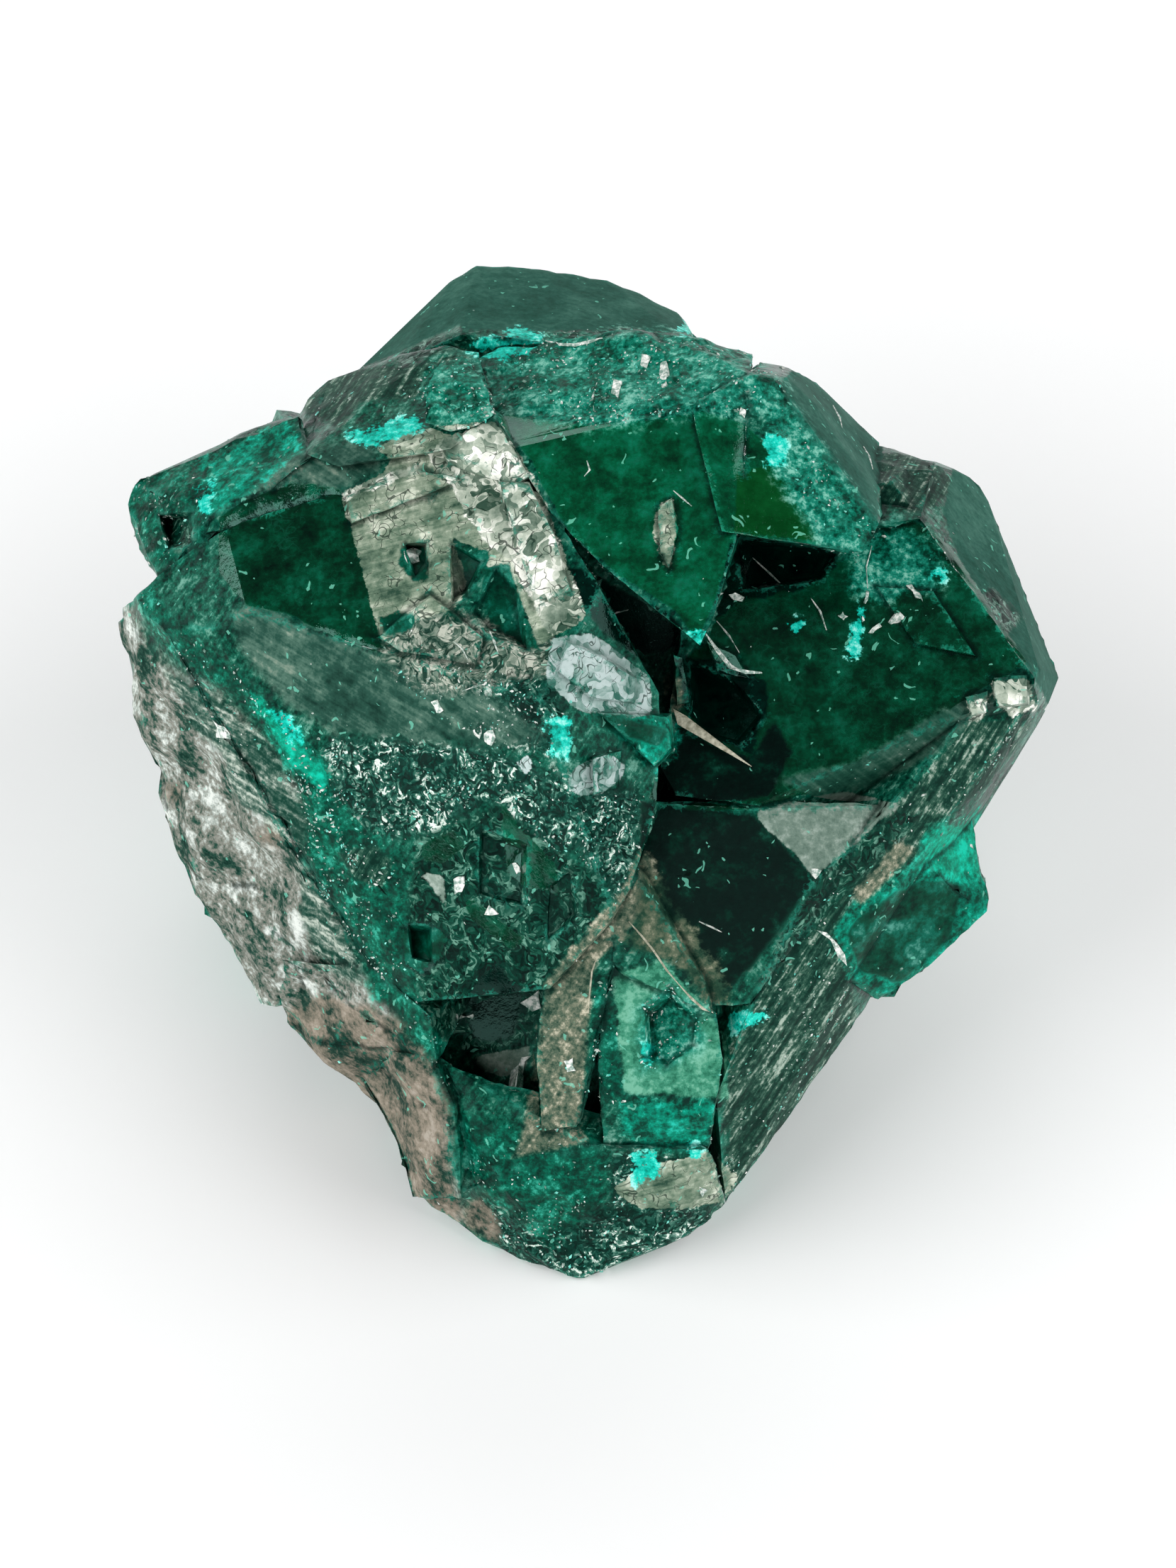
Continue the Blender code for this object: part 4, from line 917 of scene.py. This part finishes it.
def textures(g):
    """The patterns that drive the paints, with the noises and cells that other steps use."""
    place = g.vector("SCALE", g.node("ShaderNodeTexCoord").outputs["Object"], 1.0 / MM)
    wide = g.noise(place, WIDE_SCALE, 2.0)["Fac"]
    middling = g.noise(place, MIDDLING_SCALE, 4.0, 0.65)["Fac"]
    fine = g.noise(place, FINE_SCALE, 3.0, 0.7)["Fac"]
    blotch = g.noise(place, BLOTCH_SCALE, 3.0, 0.55)["Fac"]
    shove = g.noise(place, SHOVE_SCALE, 1.0, 0.7)["Color"]
    bent = g.vector("ADD", place, g.vector("SCALE", shove, SHOVE))
    flakes = g.cells(bent, FLAKE_SCALE)
    chips = g.cells(bent, CHIP_SCALE)
    flake_parts = g.parts(flakes["Color"])
    chip_parts = g.parts(chips["Color"])
    patchy = g.mix(g.step(middling, 0.42, 0.6), 0.75, 1.1)
    grains = g.average(chip_parts[0], flake_parts[0], chip_parts[0], g.step(fine, 0.3, 0.7))
    values = {
        "cloud": g.average(middling, middling, blotch, fine),
        "fine": g.average(fine, wide, middling),
        "rough": g.average(fine, middling),
        "grains": g.math("MULTIPLY", patchy, grains),
        "crackle": g.average(flake_parts[1], chip_parts[1], fine, middling),
    }
    for name in LINE_SCALES:
        lines = line_texture(g, name)
        values[name] = g.average(lines, lines, fine, fine, middling)
    values["blotch"] = g.average(blotch, blotch, values["down"], fine)
    values["brush"] = g.average(values["down"], values["down"], middling, wide)
    values["bark"] = g.average(values["steep"], middling, fine)
    values["sheen"] = g.average(values["sheen"], blotch, middling)
    shine = g.average(values["sheen"], fine)
    values["mirror"] = g.average(flake_parts[1], blotch, middling, blotch, shine)
    values = {name: stretched(g, value) for name, value in values.items()}
    tilt = g.vector("ADD", chips["Color"], flakes["Color"])
    tilt = g.vector("SUBTRACT", tilt, (1.0, 1.0, 1.0))
    # Sparse specks where glints are painted.
    glint_speck = g.math("MULTIPLY_ADD", wide, 0.017, chip_parts[2])
    glint_speck = g.math("GREATER_THAN", glint_speck, 1.0)
    return values, middling, fine, crack_lines(g, bent, middling), glint_speck, tilt


def painted(g, values, ragged, cracks):
    """The colour of all paints, and their roughness, clearness and tilt as one colour."""
    colour = g.ramp(g.average(values["rough"], values["steep"]), BASE_PAINT)
    finish = BASE_FINISH
    for name, (raggedness, width, roughness, clearness, tilt, kind, stops) in PAINTS.items():
        edge = g.math("MULTIPLY_ADD", ragged, raggedness, g.attribute(name))
        mask = g.step(edge, -width, width)
        paint = g.ramp(values[kind], stops)
        if name in CRACKED:
            strength, crack_paint = CRACKED[name]
            paint = g.blend(g.math("MULTIPLY", cracks, strength), paint, rgb(*crack_paint))
        colour = g.blend(mask, colour, paint)
        finish = g.blend(mask, finish, (roughness, clearness, tilt, 1.0))
    return colour, finish


def with_crease_shade(g, colour, ragged):
    """The colour with painted shade in its creases, fainter where the faces have painted sheen."""
    shining = g.step(g.math("MAXIMUM", g.attribute("sheet"), g.attribute("bright")), -0.1, 0.1)
    # Painted shade darkens the colour near each inner edge.
    crease = g.math("MULTIPLY_ADD", ragged, 0.5, g.attribute("crease"))
    crease = g.step(crease, CREASE_SHADE_REACH, 0.0)
    depth = g.mix(shining, CREASE_SHADE_DEPTH, SHINING_CREASE_SHADE_DEPTH)
    return g.blend(g.math("MULTIPLY", crease, depth), colour, rgb(*CREASE_SHADE_PAINT))


def crystal_material():
    material = bpy.data.materials.new("dioptase")
    material.use_nodes = True
    tree = material.node_tree
    shader = tree.nodes["Principled BSDF"]
    g = Graph(tree)
    values, middling, fine, cracks, glint_speck, tilt = textures(g)
    ragged = g.math("MULTIPLY", g.math("SUBTRACT", middling, 0.5), 0.6)
    ragged = g.math("MULTIPLY_ADD", g.math("SUBTRACT", fine, 0.5), 0.3, ragged)
    colour, finish = painted(g, values, ragged, cracks)
    rough, through, jumble = g.parts(finish)[:3]

    # Pale teal along the outer edges, partly wear and partly a painted highlight, with no light let
    # through there.
    rim_wear_and_highlight_edge = g.math("MULTIPLY_ADD", g.math("SUBTRACT", fine, 0.5), 1.2, g.attribute("rim_wear_and_highlight"))
    rim_wear_and_highlight = g.math("MULTIPLY", g.step(rim_wear_and_highlight_edge, RIM_WEAR_AND_HIGHLIGHT_REACH, 0.02), g.step(middling, 0.42, 0.56))
    colour = g.blend(g.math("MULTIPLY", rim_wear_and_highlight, 0.6), colour, g.ramp(fine, RIM_WEAR_AND_HIGHLIGHT_PAINT))
    through = g.mix(rim_wear_and_highlight, through, 0.0)
    colour = with_crease_shade(g, colour, ragged)
    # Painted glints on the specks, which let no light through.
    colour = g.blend(g.math("MULTIPLY", glint_speck, 0.6), colour, rgb(*SPECK_GLINT_PAINT))
    through = g.mix(glint_speck, through, 0.0)

    normal = g.node("ShaderNodeNewGeometry").outputs["Normal"]
    normal = g.vector("ADD", normal, g.vector("SCALE", tilt, g.math("MULTIPLY", jumble, 0.5)))
    bump = g.node("ShaderNodeBump")
    bump.inputs["Strength"].default_value = BUMP_STRENGTH
    bump.inputs["Distance"].default_value = BUMP_DISTANCE * MM
    g.feed(bump.inputs["Height"], fine)
    g.feed(bump.inputs["Normal"], g.vector("NORMALIZE", normal))

    g.feed(shader.inputs["Base Color"], colour)
    g.feed(shader.inputs["Roughness"], rough)
    g.feed(shader.inputs["Transmission Weight"], through)
    g.feed(shader.inputs["Normal"], bump.outputs["Normal"])
    shader.inputs["IOR"].default_value = REFRACTION
    shader.inputs["Specular IOR Level"].default_value = SPECULAR
    shader.inputs["Specular Tint"].default_value = SPECULAR_TINT
    absorb = tree.nodes.new("ShaderNodeVolumeAbsorption")
    absorb.inputs["Color"].default_value = ABSORPTION_COLOUR
    absorb.inputs["Density"].default_value = ABSORPTION_DENSITY
    tree.links.new(absorb.outputs[0], tree.nodes["Material Output"].inputs["Volume"])
    return material


def grain_material(name, stops):
    material = bpy.data.materials.new(name)
    material.use_nodes = True
    tree = material.node_tree
    shader = tree.nodes["Principled BSDF"]
    g = Graph(tree)
    place = g.vector("SCALE", g.node("ShaderNodeTexCoord").outputs["Object"], 1.0 / MM)
    g.feed(shader.inputs["Base Color"], g.ramp(g.noise(place, GRAIN_SCALE)["Fac"], stops))
    shader.inputs["Roughness"].default_value = GRAIN_ROUGHNESS
    shader.inputs["Specular IOR Level"].default_value = GRAIN_SPECULAR
    return material


def tree_of(mesh):
    faces = [tuple(face.vertices) for face in mesh.polygons]
    return BVHTree.FromPolygons([vert.co for vert in mesh.vertices], faces)


def shape_and_paint(mesh, outer, inner):
    """Raises the relief and gives the mesh the layers that its material reads."""
    points, normals = mesh_arrays(mesh)
    across, down = picture_place(points)
    seen = spread(mesh, seen_from_camera(points, normals, tree_of(mesh)), VIEW_SPREAD)
    layers = layer_distances(points, across, down, seen)
    rims = np.array([outer.find(Vector(point) / MM)[2] for point in points])
    creases = np.array([inner.find(Vector(point) / MM)[2] for point in points])
    lines = line_places(points)
    heights = relief(points, layers, rims, lines)
    moved = points + normals * heights[:, None] * MM
    moved[:, 2] = np.maximum(moved[:, 2], 0.0)
    mesh.vertices.foreach_set("co", moved.astype(np.float32).ravel())
    mesh.update()
    for name, distances in layers.items():
        set_attribute(mesh, name, distances)
    set_attribute(mesh, "rim_wear_and_highlight", rims)
    set_attribute(mesh, "crease", creases)
    for name, (along, across_lines) in lines.items():
        set_attribute(mesh, name + "_along", along)
        set_attribute(mesh, name + "_across", across_lines)
    return layers, seen


def ray_through(pixel):
    """Start and direction (metres) of the viewer's ray through a pixel of the photograph."""
    offset = picture_offset()
    eye = MIDDLE + RIGHT * offset[0] - UP * offset[1] + OUT * (SCALE_PLANE + CAMERA_DISTANCE)
    right = (pixel[0] - PHOTO_SIZE[0] / 2.0) / PIXELS_PER_MM
    down = (pixel[1] - PHOTO_SIZE[1] / 2.0) / PIXELS_PER_MM
    target = eye - OUT * CAMERA_DISTANCE + RIGHT * right - UP * down
    return Vector(eye * MM), Vector(target - eye).normalized()


def place_on(tree, pixel):
    """Where the viewer's ray through a pixel meets the crystal, and the normal there."""
    start, way = ray_through(pixel)
    point, normal, _, _ = tree.ray_cast(start, way)
    return point, normal


class Pieces:
    """Points and faces of many small things that make one mesh."""

    def __init__(self):
        self.points, self.faces, self.kinds = [], [], []

    def add(self, points, faces, kind):
        first = len(self.points)
        self.points += [tuple(point) for point in points]
        self.faces += [tuple(first + index for index in face) for face in faces]
        self.kinds += [kind] * len(faces)

    def prism(self, low, high, kind):
        """A solid between two rings of the same number of points."""
        count = len(low)
        faces = [tuple(reversed(range(count))), tuple(range(count, 2 * count))]
        faces += [(i, (i + 1) % count, count + (i + 1) % count, count + i) for i in range(count)]
        self.add(list(low) + list(high), faces, kind)

    def make(self, name, materials):
        mesh = bpy.data.meshes.new(name)
        mesh.from_pydata(self.points, [], self.faces)
        for material in materials:
            mesh.materials.append(material)
        mesh.polygons.foreach_set("material_index", self.kinds)
        mesh.update()
        piece = bpy.data.objects.new(name, mesh)
        bpy.context.scene.collection.objects.link(piece)
        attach(piece, "root")


def ragged_outline(outline):
    """The outline with each of its sides broken once."""
    broken = []
    for start, end in zip(outline, outline[1:] + outline[:1]):
        start, end = Vector(start), Vector(end)
        side = end - start
        draw = noise.noise_vector(Vector((start.x * 0.37, start.y * 0.41, CHIP_SEED)))
        middle = start.lerp(end, 0.5 + 0.3 * draw.x) + Vector((side.y, -side.x)) * 0.35 * draw.y
        broken += [tuple(start), tuple(middle)]
    return broken


def add_chips(pieces, tree):
    for outline in CHIPS:
        hits = [place_on(tree, pixel) for pixel in ragged_outline(outline)]
        if any(point is None for point, _ in hits):
            continue
        normal = sum((normal for _, normal in hits), Vector()).normalized()
        low = [point - normal * 0.1 * MM for point, _ in hits]
        high = [point + normal * (0.02 + 0.02 * (i % 3)) * MM for i, (point, _) in enumerate(hits)]
        pieces.prism(low[::-1], high[::-1], 0)


def add_thread(pieces, tree, width, pixels, kind):
    """A hair or a raised line along pixels of the photograph."""
    hits = [place_on(tree, pixel) for pixel in pixels]
    hits = [(point, normal) for point, normal in hits if point is not None]
    rings = []
    for index, (point, normal) in enumerate(hits):
        ahead = hits[min(index + 1, len(hits) - 1)][0] - hits[max(index - 1, 0)][0]
        side = ahead.cross(normal).normalized()
        thin = 0.4 if index in (0, len(hits) - 1) else 1.0
        reach = width * thin * MM
        rings.append((point + side * reach, point + normal * 1.6 * reach, point - side * reach,
                      point - normal * reach))
    for low, high in zip(rings, rings[1:]):
        pieces.prism(low, high, kind)


def add_needle(pieces, tree):
    _, way = ray_through(NEEDLE_TIP)
    foot = [place_on(tree, pixel)[0] - way * NEEDLE_SUNK * MM for pixel in NEEDLE_FOOT]
    tip = place_on(tree, NEEDLE_TIP)[0] - way * NEEDLE_LIFT * MM
    middle = sum(foot, Vector()) / 3.0
    near = [tip + (point - middle) * 0.05 for point in foot]
    pieces.prism(foot, near, 1)


def add_grains(pieces, mesh, layers, seen):
    """Small bright splinters in the rough ground; their pale colours are partly painted glints, and
    their gloss catches real light.
    """
    points, normals = mesh_arrays(mesh)
    rough = np.maximum.reduce([share(layers[name], 0.6) for name in GRAIN_GROUNDS])
    rough += 0.2 * share(layers["striated"]) + 0.3 * share(layers["moss"]) + 0.03
    for name in GRAIN_FREE:
        rough *= 1.0 - 0.93 * share(layers[name])
    clumps = [noise.noise(Vector(point) / (GRAIN_CLUMPS * MM)) for point in points]
    rough *= np.clip(np.array(clumps) * 2.5 + 0.3, 0.02, 1.0)
    draw = np.random.default_rng(GRAIN_SEED)
    chosen = draw.choice(len(points), GRAIN_COUNT, replace=False, p=rough / rough.sum())
    for index in chosen:
        point, normal = Vector(points[index]), Vector(normals[index])
        size = draw.uniform(0.015, 0.03 + 0.045 * draw.uniform() ** 2) * MM
        lean = Vector(draw.normal(0.0, 0.45, 3))
        normal = (normal + lean).normalized()
        side = normal.orthogonal().normalized()
        turn = draw.uniform(0.0, math.tau)
        across = normal.cross(side)
        first = side * math.cos(turn) + across * math.sin(turn)
        second = across * math.cos(turn) - side * math.sin(turn)
        long_share = draw.uniform(1.0, 2.4)
        centre = point + normal * 0.3 * size
        ring = [
            centre + first * size * long_share, centre + second * size * 0.7,
            centre - first * size, centre - second * size * 0.6,
        ]
        kind = int(draw.choice(3, p=(0.4, 0.2, 0.4)))
        base = [corner - normal * 1.2 * size for corner in ring]
        pieces.prism(base, ring, (0, 2, 3)[kind])


noise.seed_set(NOISE_SEED)
mesh, outer_edges, inner_edges = fine_mesh()
crystal =bpy.data.objects.new("dioptase", mesh)
bpy.context.scene.collection.objects.link(crystal)
layers, seen = shape_and_paint(mesh, outer_edges, inner_edges)
mesh.materials.append(crystal_material())
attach(crystal, "root")
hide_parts(CLUSTER)

surface = tree_of(mesh)
splinters = Pieces()
add_chips(splinters, surface)
for width, pixels in HAIRS:
    add_thread(splinters, surface, width, pixels, 0)
for width, pixels in FRINGE:
    add_thread(splinters, surface, width, pixels, 1)
add_needle(splinters, surface)
add_grains(splinters, mesh, layers, seen)
splinters.make("splinters", [
    grain_material("white_grain_and_glint", WHITE_GRAIN_AND_GLINT),
    grain_material("cream_grain", CREAM_GRAIN),
    grain_material("cyan_glint_grain", CYAN_GLINT_GRAIN),
    grain_material("green_grain", GREEN_GRAIN),
])
add_camera()
add_studio()
